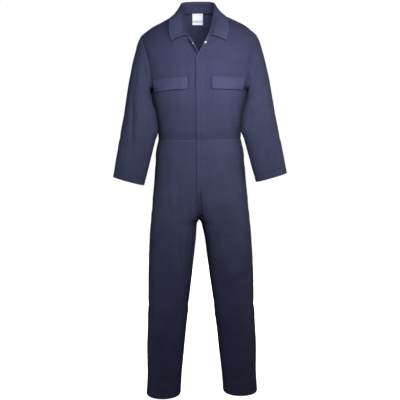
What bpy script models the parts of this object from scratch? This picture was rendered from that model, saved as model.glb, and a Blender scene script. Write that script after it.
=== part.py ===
"""A boiler suit in woven workwear cloth, hollow and filled out as it is worn.

The suit is first drawn as one skin of panels whose edges share their points. Each panel is then cut from
that skin and given the cloth's thickness along the skin's own normals, so that neighbours meet along a
seam with a small gap and never run into each other. What is sewn on a panel is made from that panel's
points, moved out.

Frame: metres, +Z up, the front faces -Y, the wearer's left is +X. The origin lies at the base of the
neck, midway between the shoulders. All tables are in millimetres and degrees.
"""

import math

import bmesh
import bpy
import numpy as np
from mathutils import Matrix, Vector
from mathutils.bvhtree import BVHTree

# Driving dimensions
MM = 0.001
CLOTH = 1.6 * MM          # wall of one layer of cloth
DOUBLE = 1.9 * MM         # wall of two layers sewn together, pressed flat
SEAM_GAP = 0.3 * MM       # between two panels at a seam
LIFT = 1.0 * MM           # between a panel and what is sewn on it
ACROSS = 10               # faces across each half panel

LAP = 12.0                # each fly strip passes its front's edge by this much
FLY_WIDTH = 39.0
FIRST_FACE = FLY_WIDTH - LAP      # the face beside the centre front is as wide as the strip sewn on it
FLY_FOOT = {1: -806.0, -1: -742.0}
FLY_HEAD = -91.0
NECK_TURN = math.radians(35.0)    # how far the covering strip turns outward in the open neck
NECK_LEAN = math.radians(30.0)    # how far each side of the open neck leans from upright
POCKET_TOP, POCKET_FOOT = -262.0, -427.0
POCKET_INNER, POCKET_WIDTH = 58.0, 124.0
FLAP_TOP, FLAP_DEPTH = -246.0, 48.0
FLAP_INNER, FLAP_WIDTH = 52.0, 136.0
FLAP_DROOP = {-1: 11.0, 1: 6.0}   # how far a flap's outer end hangs below its inner end
HEM_DROP = {-1: 12.0, 1: 1.0}      # the right hem hangs a little lower than the left one
CUFF_RISE = {-1: 0.0, 1: 10.0}     # the left cuff is drawn up a little
ARM_CLEARANCE = 3.5                # between a sleeve and the torso that it hangs against
HIP_SLIT_TOP, HIP_SLIT_FOOT = -606.0, -762.0
HIP_STRIP = 24.0
LABEL_WIDTH, LABEL_TOP, LABEL_FOOT = 45.0, 28.5, -17.0
LABEL_WALL = 1.0 * MM
STUD_DIAMETER, STUD_HEIGHT = 9.6 * MM, 2.6 * MM
STUD_LEVEL = {-1: -114.0, 1: -110.0}
STUD_SEAT = 0.4 * MM
COLLAR_FOOT = 0.5 * MM    # between the neck seam and the collar
COLLAR_LIFT = 2.0 * MM    # between the middle of the collar's cloth and what it lies over
COLLAR_FOLD = 3.2 * MM    # radius of the fold along the top of the collar
LAYING_PASSES = 8         # each pass moves the collar out from what it still comes too near

NAVY = (0.020, 0.026, 0.058, 1.0)
NAVY_DOUBLE = (0.026, 0.033, 0.070, 1.0)
LABEL_WHITE = (0.70, 0.73, 0.80, 1.0)
NICKEL = (0.62, 0.63, 0.66, 1.0)


def table(columns, rows):
    """A section table: the named columns, with one row for each section."""
    grid = np.array(rows, float)
    return {name: grid[:, k] for k, name in enumerate(columns.split())}


# Each row runs from the centre front, or the neck edge, to the side seam, or the armhole. It leaves its
# inner end straight sideways, and reaches its outer end at the angle "turn" from sideways to backwards.
FRONT = table(
    "in_x in_y in_z out_x out_y out_z reach_in reach_out turn arch",
    [
        (0, -125, -497, 173, 0, -497, 108, 78, 90, 0),    # waist seam
        (0, -132, -467, 175, 0, -467, 110, 82, 90, 0),    # cloth bloused over the waist
        (0, -137, -393, 187, 0, -393, 116, 84, 90, 0),    # ribs
        (0, -140, -345, 197, 0, -345, 121, 85, 90, 0),    # chest
        (0, -140, -310, 200, 0, -310, 122, 85, 90, 0),    # underarm
        (0, -139, -268, 194, -50, -281, 112, 45, 72, 0),
        (0, -133, -212, 197, -72, -226, 95, 38, 50, 0),   # middle of the armhole
        (0, -127, -178, 206, -67, -180, 88, 40, 41, 0),   # foot of the open neck
        (28, -115, -118, 221, -47, -128, 78, 45, 33, 2),
        (50, -101, -88, 233, -24, -97, 72, 50, 28, 4),    # front end of the collar
        (67, -56, -32, 240, -8, -80, 62, 50, 15, 5),
        (82, 5, 18, 243, 8, -70, 53, 53, 1, 6),           # shoulder seam
    ],
)
BACK = table(
    "in_x in_y in_z out_x out_y out_z reach_in reach_out turn arch",
    [
        (0, 118, -497, 173, 0, -497, 106, 72, -90, 0),    # waist seam
        (0, 127, -467, 175, 0, -467, 110, 78, -90, 0),
        (0, 132, -393, 187, 0, -393, 116, 80, -90, 0),
        (0, 135, -345, 197, 0, -345, 120, 82, -90, 0),
        (0, 137, -310, 200, 0, -310, 122, 83, -90, 0),    # underarm
        (0, 139, -262, 193, 54, -281, 112, 44, -70, 0),
        (0, 138, -205, 193, 80, -228, 98, 38, -48, 0),    # shoulder blades
        (0, 131, -142, 201, 81, -172, 88, 40, -36, 0),
        (0, 117, -78, 215, 64, -124, 80, 45, -28, 0),
        (0, 100, -20, 229, 40, -95, 76, 50, -20, 2),
        (0, 80, 30, 236, 24, -82, 70, 52, -12, 4),        # nape
        (50, 64, 27, 240, 16, -75, 60, 52, -5, 5),
        (82, 5, 18, 243, 8, -70, 53, 53, 1, 6),           # shoulder seam
    ],
)
# Half of the hips, then one leg: the section is a rounded oval about its centre, cut off at x = 0.
TROUSER = table(
    "level centre half mid front back square",
    [
        (-497, 0.0, 173.0, 0, 125, 118, 2.30),          # waist seam
        (-571, 0.0, 186.6, 2, 132, 133, 2.30),
        (-660, 18.0, 173.5, 4, 134, 141, 2.28),         # hips
        (-742, 50.0, 149.5, 4, 134, 142, 2.25),         # seat
        (-806, 87.0, 121.0, 3, 132, 134, 2.22),
        (-838, 104.8, 104.8, 2, 130, 129, 2.20),        # crotch
        (-850, 109.4, 101.4, 2, 129, 127, 2.20),        # the rounded top of the gap between the legs
        (-877, 113.4, 100.4, 1, 127, 123, 2.20),
        (-947, 120.5, 97.3, 0, 121, 114, 2.18),         # thigh
        (-1087, 132.5, 93.0, -3, 107, 99, 2.15),
        (-1230, 143.4, 86.5, -4, 95, 90, 2.12),         # knee
        (-1373, 154.9, 82.1, 0, 86, 88, 2.10),
        (-1519, 163.0, 75.4, 4, 83, 88, 2.10),
        (-1600, 168.5, 75.2, 6, 84, 89, 2.10),          # hem
    ],
)
# A sleeve's section lies between a point on its inner line and a point on its outer line.
SLEEVE = table(
    "in_x in_z out_x out_z mid front back",
    [
        (200, -310, 243, -70, 4, 77, 78),               # armhole
        (209, -313, 257, -101, 1, 80, 81),              # sleeve head
        (200, -328, 266, -143, -6, 79, 82),
        (197, -352, 277, -197, -14, 76, 80),
        (181, -392, 293, -280, -25, 71, 76),            # upper arm
        (174, -460, 316, -404, -33, 64, 70),
        (185, -505, 327, -462, -36, 61, 66),            # elbow
        (200, -562, 339, -526, -40, 55, 60),
        (217, -628, 353, -593, -44, 48, 52),
        (234, -688, 364, -651, -47, 41, 44),            # cuff
    ],
)
# The collar from the back of the neck to its front end: its seam lies on the neck edge.
COLLAR = table(
    "fold_x fold_y fold_z edge_x edge_y edge_z swell",
    [
        (0, 66, 74, 0, 98, 8, 5),                       # centre back
        (39, 58, 72, 60, 86, 6, 4),
        (65, 28, 61, 100, 40, 6, 1),                    # side of the neck
        (67, 0, 41, 112, -2, 4, 2),                     # shoulder
        (62, -32, 10, 119, -44, -12, 5),
        (53, -70, -33, 121, -80, -54, 7),
        (41, -110, -75, 110, -113, -101, 4),            # front end
    ],
)

WAIST, SEAT, CROTCH, THIGH, HEM = TROUSER["level"][[0, 3, 5, 8, 13]]
ROWS_BELOW_ARM = (0, 0.5, 1, 1.5, 2, 3, 4)
NECK_FOOT_ROW = 7         # the front's row where the neck begins to open
NECK_HALF = FRONT["in_x"][-1]
LEG_ROWS = [p for p in np.arange(0, 13.1, 0.5) if p not in (5.5, 6.5)]
FRONT_ROWS_AT_ARM = (4.5, 5, 5.5, 6, 6.5, 7, 7.5, 8, 9)
BACK_ROWS_AT_ARM = (4.5, 5, 5.5, 6, 6.5, 7, 8, 9, 10)
SLEEVE_ROWS = np.arange(0.5, 9.1, 0.5)
SLEEVE_HEAD_ROW, UPPER_ARM_ROW = 1, 4
OVAL = 0.9                # a sleeve's section: 1 is an ellipse, less is squarer
NECK_STEPS = 6            # rows between the collar's end, or the nape, and the shoulder seam
FALL_START = 4            # the first point of a collar section that belongs to its fall


def glide(column, p):
    """A column read at row numbers p, on a smooth line that never overshoots its rows."""
    steps = np.diff(column)
    slopes = np.empty(len(column))
    slopes[0], slopes[-1] = steps[0], steps[-1]
    for k in range(1, len(column) - 1):
        before, after = steps[k - 1], steps[k]
        slopes[k] = 2 * before * after / (before + after) if before * after > 0 else 0.0
    p = np.asarray(p, float)
    k = np.clip(np.floor(p).astype(int), 0, len(column) - 2)
    f = p - k
    start, end = column[k], column[k + 1]
    rise = f * f * (3 - 2 * f)
    return start + (end - start) * rise + slopes[k] * f * (1 - f) ** 2 - slopes[k + 1] * f * f * (1 - f)


def row_of(section_table, p):
    """One section read from a table, as a dictionary of its columns."""
    return {name: float(glide(column, p)) for name, column in section_table.items()}


def length_of(line):
    return float(np.linalg.norm(np.diff(line, axis=0), axis=1).sum())


def spaced(line, widths):
    """The same line with its points at given distances along it."""
    lengths = np.concatenate([[0.0], np.cumsum(np.linalg.norm(np.diff(line, axis=0), axis=1))])
    spots = np.concatenate([[0.0], np.cumsum(widths)]) * lengths[-1] / np.sum(widths)
    return np.stack([np.interp(spots, lengths, line[:, k]) for k in range(3)], axis=1)


def chest_line(row, first):
    """One row of an upper panel: a curve from its inner end to its outer end, in even faces but the first."""
    turn = math.radians(row["turn"])
    inner = np.array([row["in_x"], row["in_y"], row["in_z"]])
    outer = np.array([row["out_x"], row["out_y"], row["out_z"]])
    drop = (outer[2] - inner[2]) / 3
    ahead = inner + [row["reach_in"], 0.0, drop * min(row["in_x"] / NECK_HALF, 1.0)]
    behind = outer - [row["reach_out"] * math.cos(turn), row["reach_out"] * math.sin(turn), drop]
    t = np.linspace(0.0, 1.0, 81)[:, None]
    curve = inner * (1 - t) ** 3 + ahead * 3 * t * (1 - t) ** 2 + behind * 3 * t * t * (1 - t) + outer * t**3
    curve[:, 2:] += row["arch"] * 4 * t * (1 - t)
    first_width = first if first else length_of(curve) / ACROSS
    return spaced(curve, [first_width] + [(length_of(curve) - first_width) / (ACROSS - 1)] * (ACROSS - 1))


def trouser_curve(row, depth_name):
    """One row of a trouser panel, from the rise or the inseam round to the side seam."""
    toward = -1 if depth_name == "front" else 1
    power = row["square"]
    reach = min(row["centre"] / row["half"], 1.0)
    start = math.acos(-(reach ** (power / 2)))
    angle = np.linspace(start, 0.0, 121)
    cosine, sine = np.cos(angle), np.abs(np.sin(angle))
    x = row["centre"] + row["half"] * np.sign(cosine) * np.abs(cosine) ** (2 / power)
    y = row["mid"] + toward * row[depth_name] * sine ** (2 / power)
    if row["centre"] < row["half"]:
        x[0] = 0.0
    return np.stack([x, y, np.full_like(x, row["level"])], axis=1)


def trouser_line(row, depth_name):
    """The points along a row. Above the crotch, the outer half keep the width that they have there."""
    curve = trouser_curve(row, depth_name)
    at_crotch = length_of(trouser_curve(row_of(TROUSER, 5), depth_name)) / ACROSS
    length, half = length_of(curve), ACROSS // 2
    below = min(max((FLY_FOOT[1] - row["level"]) / (FLY_FOOT[1] - THIGH), 0.0), 1.0)
    widen = min(max((WAIST - row["level"]) / (WAIST - SEAT), 0.0), 1.0)
    if row["level"] <= CROTCH:
        outer = length / ACROSS
    else:
        outer = length / ACROSS * (1 - widen) + at_crotch * widen
    inner = (length - outer * half) / half
    first = FIRST_FACE + (inner - FIRST_FACE) * below if depth_name == "front" else inner
    rest = (length - outer * half - first) / (half - 1)
    return spaced(curve, [first] + [rest] * (half - 1) + [outer] * half)


def upper_panel(section_table, rows_at_arm, first):
    """The points of an upper panel, in rows from waist to shoulder; first is its first face's width."""
    last = len(section_table["in_x"]) - 1
    at_neck = np.linspace(rows_at_arm[-1], last, NECK_STEPS + 1)[1:]
    rows = [chest_line(row_of(section_table, p), first) for p in [*ROWS_BELOW_ARM, *rows_at_arm]]
    rows = np.array(rows + [chest_line(row_of(section_table, p), None) for p in at_neck])
    foot, head = rows[-NECK_STEPS - 1, -1], rows[-1, -1]
    for k in range(1, NECK_STEPS):      # the armhole is straight where the neck rows crowd together
        rows[-NECK_STEPS - 1 + k, -1] = foot + (head - foot) * k / NECK_STEPS
    return rows


def trouser_panel(depth_name, waist, side):
    """The points of a trouser panel, as rows from the hem to the waist."""
    rows = np.array([trouser_line(row_of(TROUSER, p), depth_name) for p in LEG_ROWS])
    rows[0] = waist
    below = np.clip((rows[:, :, 2] - CROTCH) / (HEM - CROTCH), 0.0, 1.0)
    rows[:, :, 2] -= HEM_DROP[side] * below
    return rows[::-1]


def sleeve_ring(row, angles):
    """One section of a sleeve, from the underarm over the front, the outside and the back."""
    inner = np.array([row["in_x"], row["mid"], row["in_z"]])
    outer = np.array([row["out_x"], row["mid"], row["out_z"]])
    swing = (1 - np.sign(np.cos(angles)) * np.abs(np.cos(angles)) ** OVAL) / 2
    depth = np.where(np.sin(angles) >= 0, -row["front"], row["back"]) * np.abs(np.sin(angles)) ** OVAL
    return inner + (outer - inner) * swing[:, None] + np.stack([0 * depth, depth, 0 * depth], axis=1)


def clear_of_torso(ring, front, back):
    """A sleeve's section with its inner side pressed flat along the torso, just clear of it."""
    rows = len(ROWS_BELOW_ARM)
    levels = front[:rows, -1, 2]
    for point in ring:
        if point[2] > levels[-1]:
            continue
        body = front if point[1] < 0 else back
        widths = [np.interp(abs(point[1]), np.abs(line[::-1, 1]), line[::-1, 0]) for line in body[:rows]]
        point[0] = max(point[0], np.interp(point[2], levels, widths) + ARM_CLEARANCE)
    return ring


def sleeve_panel(front, back, side):
    """The points of a sleeve, as rings from the armhole to the cuff; the last column repeats the first."""
    arm = len(ROWS_BELOW_ARM) - 1
    ahead = front[arm:-NECK_STEPS, -1]
    behind = back[arm:-NECK_STEPS, -1]
    armhole = np.concatenate([ahead, front[-1:, -1], behind[::-1]])
    count = len(ahead)
    strides = np.linalg.norm(np.diff(armhole, axis=0), axis=1)
    walk = np.concatenate([[0.0], np.cumsum(strides)])
    half = walk[count]
    by_length = np.where(walk <= half, walk / half, 1 + (walk - half) / (walk[-1] - half)) * math.pi
    by_count = np.concatenate([np.linspace(0, 1, count + 1), np.linspace(1, 2, len(behind) + 1)[1:]])
    by_count *= math.pi
    start = armhole - sleeve_ring(row_of(SLEEVE, 0), by_length)
    rings = [armhole]
    for p in SLEEVE_ROWS:
        settle = min(p / UPPER_ARM_ROW, 1.0)
        ease = settle * settle * (3 - 2 * settle)
        angles = by_length + (by_count - by_length) * ease
        ring = sleeve_ring(row_of(SLEEVE, p), angles) + start * (1 - ease)
        ring[:, 2] += CUFF_RISE[side] * (p / SLEEVE_ROWS[-1]) ** 2
        rings.append(clear_of_torso(ring, front, back) if p >= SLEEVE_HEAD_ROW else ring)
    rings = np.array(rings)
    rings[:, -1] = rings[:, 0]
    return rings


def mirrored(rows, side):
    """Rows in metres, on the wearer's left (1) or right (-1)."""
    placed = rows * MM
    placed[:, :, 0] *= side
    return placed


def draw_skin():
    """Every main panel as rows of points in metres, with shared points along the seams."""
    front = upper_panel(FRONT, FRONT_ROWS_AT_ARM, FIRST_FACE)
    back = upper_panel(BACK, BACK_ROWS_AT_ARM, None)
    arm = len(ROWS_BELOW_ARM)
    back[:arm, -1] = front[:arm, -1]
    back[-1] = front[-1]
    skin = {}
    for side, hand in ((1, "left"), (-1, "right")):
        skin["front_" + hand] = mirrored(front, side)
        skin["trouser_front_" + hand] = mirrored(trouser_panel("front", front[0], side), side)
        skin["trouser_back_" + hand] = mirrored(trouser_panel("back", back[0], side), side)
        skin["sleeve_" + hand] = mirrored(sleeve_panel(front, back, side), side)
    skin["back"] = np.concatenate([mirrored(back, -1)[:, ::-1], mirrored(back, 1)], axis=1)
    return skin


def face_normals(rows):
    """The area normal of each face between the rows."""
    across = rows[1:, 1:] - rows[:-1, :-1]
    along = rows[1:, :-1] - rows[:-1, 1:]
    return np.cross(along, across)


def outward(name):
    """Whether a panel's rows and columns turn so that their normals point out of the suit."""
    flips = {"front_left": -1, "front_right": 1, "back": 1}
    flips.update({"trouser_front_left": -1, "trouser_front_right": 1})
    flips.update({"trouser_back_left": 1, "trouser_back_right": -1})
    flips.update({"sleeve_left": 1, "sleeve_right": -1})
    return flips[name]


def skin_normals(skin):
    """Normals at each panel's points, shared by every panel that meets there."""
    def key(point):
        return tuple(np.round(point / 1e-5).astype(int))

    sums = {}
    for name, rows in skin.items():
        normals = face_normals(rows) * outward(name)
        if name == "back":
            normals[:, ACROSS] = 0.0
        for j in range(rows.shape[0]):
            for i in range(rows.shape[1]):
                near = normals[max(j - 1, 0):j + 1, max(i - 1, 0):i + 1].reshape(-1, 3)
                spot = key(rows[j, i])
                sums[spot] = sums.get(spot, np.zeros(3)) + near.sum(axis=0)
    found = {}
    for name, rows in skin.items():
        normals = np.array([[sums[key(point)] for point in row] for row in rows])
        normals /= np.linalg.norm(normals, axis=2, keepdims=True)
        if name.startswith("front") or name == "back":
            edges = (0, -1) if name == "back" else (-1,)
            for edge in edges:
                foot, head = normals[-NECK_STEPS - 1, edge], normals[-1, edge]
                for k in range(1, NECK_STEPS):
                    normals[-NECK_STEPS - 1 + k, edge] = foot + (head - foot) * k / NECK_STEPS
        found[name] = normals / np.linalg.norm(normals, axis=2, keepdims=True)
    return found


class Panel:
    """A panel's points and normals, read anywhere on its faces; its last rows may crowd at the neck."""

    def __init__(self, rows, normals, crowded):
        self.rows, self.normals, self.crowded = rows, normals, crowded

    def read(self, grid, j, i):
        """The value on the face that holds (j, i): two triangles, split from the face's first corner."""
        j0 = int(np.clip(math.floor(j), 0, grid.shape[0] - 2))
        i0 = int(np.clip(math.floor(i), 0, grid.shape[1] - 2))
        v, u = j - j0, i - i0
        first, last = grid[j0, i0], grid[j0 + 1, i0 + 1]
        if u >= v:
            corner = grid[j0, i0 + 1]
            return first + (corner - first) * u + (last - corner) * v
        corner = grid[j0 + 1, i0]
        return first + (corner - first) * v + (last - corner) * u

    def point(self, j, i):
        return self.read(self.rows, j, i)

    def normal(self, j, i):
        found = self.read(self.normals, j, i)
        return found / np.linalg.norm(found)

    def row_at(self, level, i):
        """The row number where column i stands at a level, in millimetres."""
        heights = np.array([self.point(j, i)[2] for j in range(self.rows.shape[0] - self.crowded)])
        order = np.argsort(heights)
        return float(np.interp(level * MM, heights[order], np.arange(len(heights))[order]))

    def column_after(self, j, start, distance):
        """The column number at a distance along row j from column start, in millimetres."""
        spots = np.linspace(start, self.rows.shape[1] - 1, 200)
        line = np.array([self.point(j, i) for i in spots])
        walk = np.concatenate([[0.0], np.cumsum(np.linalg.norm(np.diff(line, axis=0), axis=1))])
        return float(np.interp(distance * MM, walk, spots))


def cloth_material(name, colour, metallic=0.0, roughness=0.85):
    material = bpy.data.materials.new(name)
    material.use_nodes = True
    shader = material.node_tree.nodes["Principled BSDF"]
    shader.inputs["Base Color"].default_value = colour
    shader.inputs["Roughness"].default_value = roughness
    shader.inputs["Metallic"].default_value = metallic
    return material


def add_object(name, bm, colour, **finish):
    mesh = bpy.data.meshes.new(name)
    bm.to_mesh(mesh)
    bm.free()
    mesh.materials.append(cloth_material(name + "_finish", colour, **finish))
    mesh.shade_smooth()
    mesh.set_sharp_from_angle(angle=math.radians(40))
    part = bpy.data.objects.new(name, mesh)
    bpy.data.collections["boiler_suit"].objects.link(part)
    return part


def drawn_back(rows, edges, distance):
    """The rows with some edges moved in by a distance, square to the edge; edges are (axis, end) pairs."""
    moved = rows.copy()
    for axis, end in edges:
        lines, shifted = np.moveaxis(rows, axis, 0), np.moveaxis(moved, axis, 0)
        edge, inside = (0, 1) if end == 0 else (-1, -2)
        along = np.gradient(lines[edge], axis=0)
        along /= np.linalg.norm(along, axis=1, keepdims=True)
        way = lines[inside] - lines[edge]
        way -= along * (way * along).sum(axis=1, keepdims=True)
        shifted[edge] += way / np.linalg.norm(way, axis=1, keepdims=True) * distance
    return moved


def wall(name, rows, normals, low, high, colour, open_column=None):
    """A cloth wall: a flat sheet of faces laid on rows of points, then extruded along the normals.

    A column of faces may be left open, which parts the sheet wherever that column has any width. Edges
    that lie on each other are joined.
    """
    along, across = rows.shape[0] - 1, rows.shape[1] - 1
    bm = bmesh.new()
    bmesh.ops.create_grid(bm, x_segments=across, y_segments=along, size=0.5)
    bmesh.ops.triangulate(bm, faces=bm.faces[:], quad_method="FIXED")
    row_number = bm.verts.layers.int.new("row")
    column_number = bm.verts.layers.int.new("column")
    for vert in bm.verts:
        vert[column_number] = round((vert.co.x + 0.5) * across)
        vert[row_number] = round((vert.co.y + 0.5) * along)
    if open_column is not None:
        pair = {open_column, open_column + 1}
        gone = [face for face in bm.faces if {vert[column_number] for vert in face.verts} == pair]
        bmesh.ops.delete(bm, geom=gone, context="FACES")
    for vert in bm.verts:
        vert.co = Vector(rows[vert[row_number], vert[column_number]])
    bmesh.ops.remove_doubles(bm, verts=bm.verts[:], dist=1e-6)
    sheet = bm.verts[:]
    raised = bmesh.ops.extrude_face_region(bm, geom=bm.faces[:])
    upper_side = [item for item in raised["geom"] if isinstance(item, bmesh.types.BMVert)]
    for height, verts in ((low, sheet), (high, upper_side)):
        for vert in verts:
            vert.co += Vector(normals[vert[row_number], vert[column_number]] * height)
    bmesh.ops.recalc_face_normals(bm, faces=bm.faces[:])
    if bm.calc_volume(signed=True) < 0:
        bmesh.ops.reverse_faces(bm, faces=bm.faces[:])
    return add_object(name, bm, colour)


def make_panels(skin, normals):
    for name, rows in skin.items():
        if name.startswith("sleeve"):
            moved = drawn_back(rows, [(0, 0)], SEAM_GAP)
            moved[:, -1] = moved[:, 0]
        else:
            moved = drawn_back(rows, [(0, 0), (0, 1), (1, 0), (1, 1)], SEAM_GAP / 2)
        if name == "back":
            below_neck = slice(0, -NECK_STEPS)
            moved[below_neck, ACROSS + 1] = moved[below_neck, ACROSS]
        wall(name, moved, normals[name], -CLOTH, 0.0, NAVY, ACROSS if name == "back" else None)


def patch(name, panel, rows_of_places, low, high, colour):
    """A piece sewn on a panel: rows of (row, column) places on it, moved out along its normals."""
    rows = np.array([[panel.point(j, i) for j, i in line] for line in rows_of_places])
    normals = np.array([[panel.normal(j, i) for j, i in line] for line in rows_of_places])
    return wall(name, rows, normals, low, high, colour)


def lines_between(start, end):
    """The whole row or column numbers between two places, apart from any too near them."""
    return [n for n in range(math.ceil(start), math.floor(end) + 1) if start + 0.15 < n < end - 0.15]


def level_patch(name, panel, top, foot, columns, hangs, low, high, colour):
    """A piece between two levels of a panel, over given columns, each hanging lower by its own amount."""
    feet = [panel.row_at(foot - hang, c) for c, hang in zip(columns, hangs)]
    heads = [panel.row_at(top - hang, c) for c, hang in zip(columns, hangs)]
    lines = [list(zip(feet, columns)), list(zip(heads, columns))]
    sense = 1 if heads[0] > feet[0] else -1
    inside = lines_between(max(feet), min(heads)) if sense > 0 else lines_between(max(heads), min(feet))[::-1]
    lines[1:1] = [[(float(j), c) for c in columns] for j in inside]
    return patch(name, panel, lines, low, high, colour)


def chest_patch(name, panel, top, foot, inner, width, droop, low, high, colour):
    """A pocket or a flap on the chest; its outer end hangs lower by droop."""
    middle = panel.row_at((top + foot) / 2, 3)
    start = panel.column_after(middle, 0, inner)
    end = panel.column_after(middle, start, width)
    columns = [start, *lines_between(start, end), end]
    hangs = [droop * ((c - start) / (end - start)) ** 1.3 for c in columns]
    return level_patch(name, panel, top, foot, columns, hangs, low, high, colour)


def make_chest_pockets(panels):
    for side, hand in ((1, "left"), (-1, "right")):
        panel = panels["front_" + hand]
        chest_patch("chest_pocket_" + hand, panel, POCKET_TOP, POCKET_FOOT, POCKET_INNER, POCKET_WIDTH,
                    3.0, LIFT, LIFT + CLOTH, NAVY)
        under = 2 * LIFT + CLOTH
        chest_patch("chest_flap_" + hand, panel, FLAP_TOP, FLAP_TOP - FLAP_DEPTH, FLAP_INNER, FLAP_WIDTH,
                    FLAP_DROOP[side], under, under + DOUBLE, NAVY_DOUBLE)


def make_pocket_edges(panels):
    """A strip along the side seam, on the front edge of each hip pocket."""
    for hand in ("left", "right"):
        panel = panels["trouser_front_" + hand]
        middle = round(panel.row_at((HIP_SLIT_TOP + HIP_SLIT_FOOT) / 2, ACROSS))
        stride = np.linalg.norm(panel.rows[middle, -1] - panel.rows[middle, -2]) / MM
        columns = [ACROSS - HIP_STRIP / stride, ACROSS - 0.04]
        level_patch("pocket_edge_" + hand, panel, HIP_SLIT_TOP, HIP_SLIT_FOOT, columns, [0.0, 0.0],
                    LIFT, LIFT + DOUBLE, NAVY_DOUBLE)


def fly_rows(upper, lower, side):
    """A strip's rows from its foot to the collar: a pair of panels, a row, how far the neck has opened."""
    foot = lower[1].row_at(FLY_FOOT[side], 0)
    head = upper[1].row_at(FLY_HEAD, 0)
    vee = len(ROWS_BELOW_ARM) + FRONT_ROWS_AT_ARM.index(NECK_FOOT_ROW)
    rows = [(lower, foot, 0.0)]
    rows += [(lower, float(j), 0.0) for j in lines_between(foot, lower[1].rows.shape[0] - 1)]
    rows += [(upper, float(j), 0.0) for j in range(vee + 1)]
    rows += [(upper, float(j), min((j - vee) / 2, 1.0)) for j in [*lines_between(vee, head), head]]
    return rows


def fly_strip(upper, lower, side):
    """Rows of points and normals along one front's edge. In the open neck the strip stands free past it."""
    points, normals = [], []
    for pair, j, opened in fly_rows(upper, lower, side):
        own, other = pair[side], pair[-side]
        line = [own.point(j, 0), own.point(j, 1)]
        facing = [own.normal(j, 0), own.normal(j, 1)]
        if opened == 0:
            i = other.column_after(j, 0, LAP)
            lap, lap_facing = other.point(j, i), other.normal(j, i)
        else:
            turn = NECK_TURN * opened if side > 0 else 0.0
            way = line[0] - line[1]
            way[2] *= 0.5       # the strip runs on more nearly level than the front does
            way /= np.linalg.norm(way)
            way = np.array([way[0] * math.cos(turn), way[1] * math.cos(turn) - math.sin(turn), way[2]])
            way /= np.linalg.norm(way)
            lap = line[0] + way * LAP * MM
            lap_facing = np.cross([side * math.sin(NECK_LEAN), 0.0, math.cos(NECK_LEAN)], way) * side
            lap_facing /= np.linalg.norm(lap_facing)
            facing[0] = facing[0] + lap_facing
            facing[0] /= np.linalg.norm(facing[0])
        points.append([lap, *line])
        normals.append([lap_facing, *facing])
    return np.array(points), np.array(normals)


def make_fly(panels):
    """The strip over the studs on the left front, and the strip under it on the right front."""
    upper = {1: panels["front_left"], -1: panels["front_right"]}
    lower = {1: panels["trouser_front_left"], -1: panels["trouser_front_right"]}
    cover = fly_strip(upper, lower, 1)
    wall("fly_cover", *cover, LIFT, LIFT + DOUBLE, NAVY_DOUBLE)
    under = fly_strip(upper, lower, -1)
    wall("fly_under", *under, -CLOTH - LIFT - DOUBLE, -CLOTH - LIFT, NAVY_DOUBLE)
    return {1: cover, -1: under}


def searchable(sheets):
    """Sheets of points as one surface to search; each comes with 1 or -1, as it faces along +Y or not."""
    points, faces = [], []
    for rows, sense in sheets:
        base, width = len(points), rows.shape[1]
        points += [tuple(point) for row in rows for point in row]
        for j, i in np.ndindex(rows.shape[0] - 1, width - 1):
            if width > 2 * ACROSS and i == ACROSS:
                continue
            corner = base + j * width + i
            face = (corner, corner + 1, corner + width + 1, corner + width)
            faces.append(face if sense < 0 else face[::-1])
    return BVHTree.FromPolygons(points, faces)


def make_studs(fly):
    """A press stud in the middle of each strip's free edge, in the open neck."""
    faces = {1: LIFT + DOUBLE, -1: -CLOTH - LIFT}
    for side, hand in ((1, "left"), (-1, "right")):
        points, normals = fly[side]
        middle = (points[:, 0] + points[:, 1]) / 2
        facings = normals[:, 0] + normals[:, 1]
        at = STUD_LEVEL[side] * MM
        spot = np.array([np.interp(at, middle[:, 2], middle[:, k]) for k in range(3)])
        facing = Vector([np.interp(at, middle[:, 2], facings[:, k]) for k in range(3)]).normalized()
        bm = bmesh.new()
        bmesh.ops.create_cone(bm, cap_ends=True, segments=20, radius1=STUD_DIAMETER / 2,
                              radius2=STUD_DIAMETER * 0.36, depth=STUD_HEIGHT)
        bmesh.ops.translate(bm, verts=bm.verts[:], vec=(0, 0, STUD_HEIGHT / 2))
        turn = Vector((0, 0, 1)).rotation_difference(facing).to_matrix().to_4x4()
        bmesh.ops.transform(bm, matrix=Matrix.Translation(Vector(spot)) @ turn, verts=bm.verts[:])
        strip = searchable([(points + normals * faces[side], outward("front_" + hand))])
        heights = []
        for vert in bm.verts:
            nearest, up, _, _ = strip.find_nearest(vert.co)
            heights.append((vert.co - nearest).dot(up))
        bmesh.ops.translate(bm, verts=bm.verts[:], vec=facing * (STUD_SEAT - min(heights)))
        add_object("stud_" + hand, bm, NICKEL, metallic=1.0, roughness=0.3)


def make_label(panels):
    """A blank label inside the back of the neck."""
    panel = panels["back"]
    middle = panel.row_at((LABEL_TOP + LABEL_FOOT) / 2, ACROSS)
    stride = np.linalg.norm(panel.point(middle, ACROSS) - panel.point(middle, ACROSS - 1)) / MM
    half = LABEL_WIDTH / 2 / stride
    columns = [ACROSS - half, ACROSS, ACROSS + 1 + half]
    level_patch("neck_label", panel, LABEL_TOP, LABEL_FOOT, columns, [0.0] * len(columns),
                -CLOTH - LIFT - LABEL_WALL, -CLOTH - LIFT, LABEL_WHITE)


def neck_edge(skin):
    """The points of the neck edge, from the centre back to the collar's front end, on the left."""
    back, front = skin["back"][:, ACROSS + 1:], skin["front_left"]
    behind = back[-NECK_STEPS - 1:, 0]
    ahead = front[-NECK_STEPS - 1:, 0][::-1]
    return np.concatenate([behind, ahead[1:]])


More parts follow.
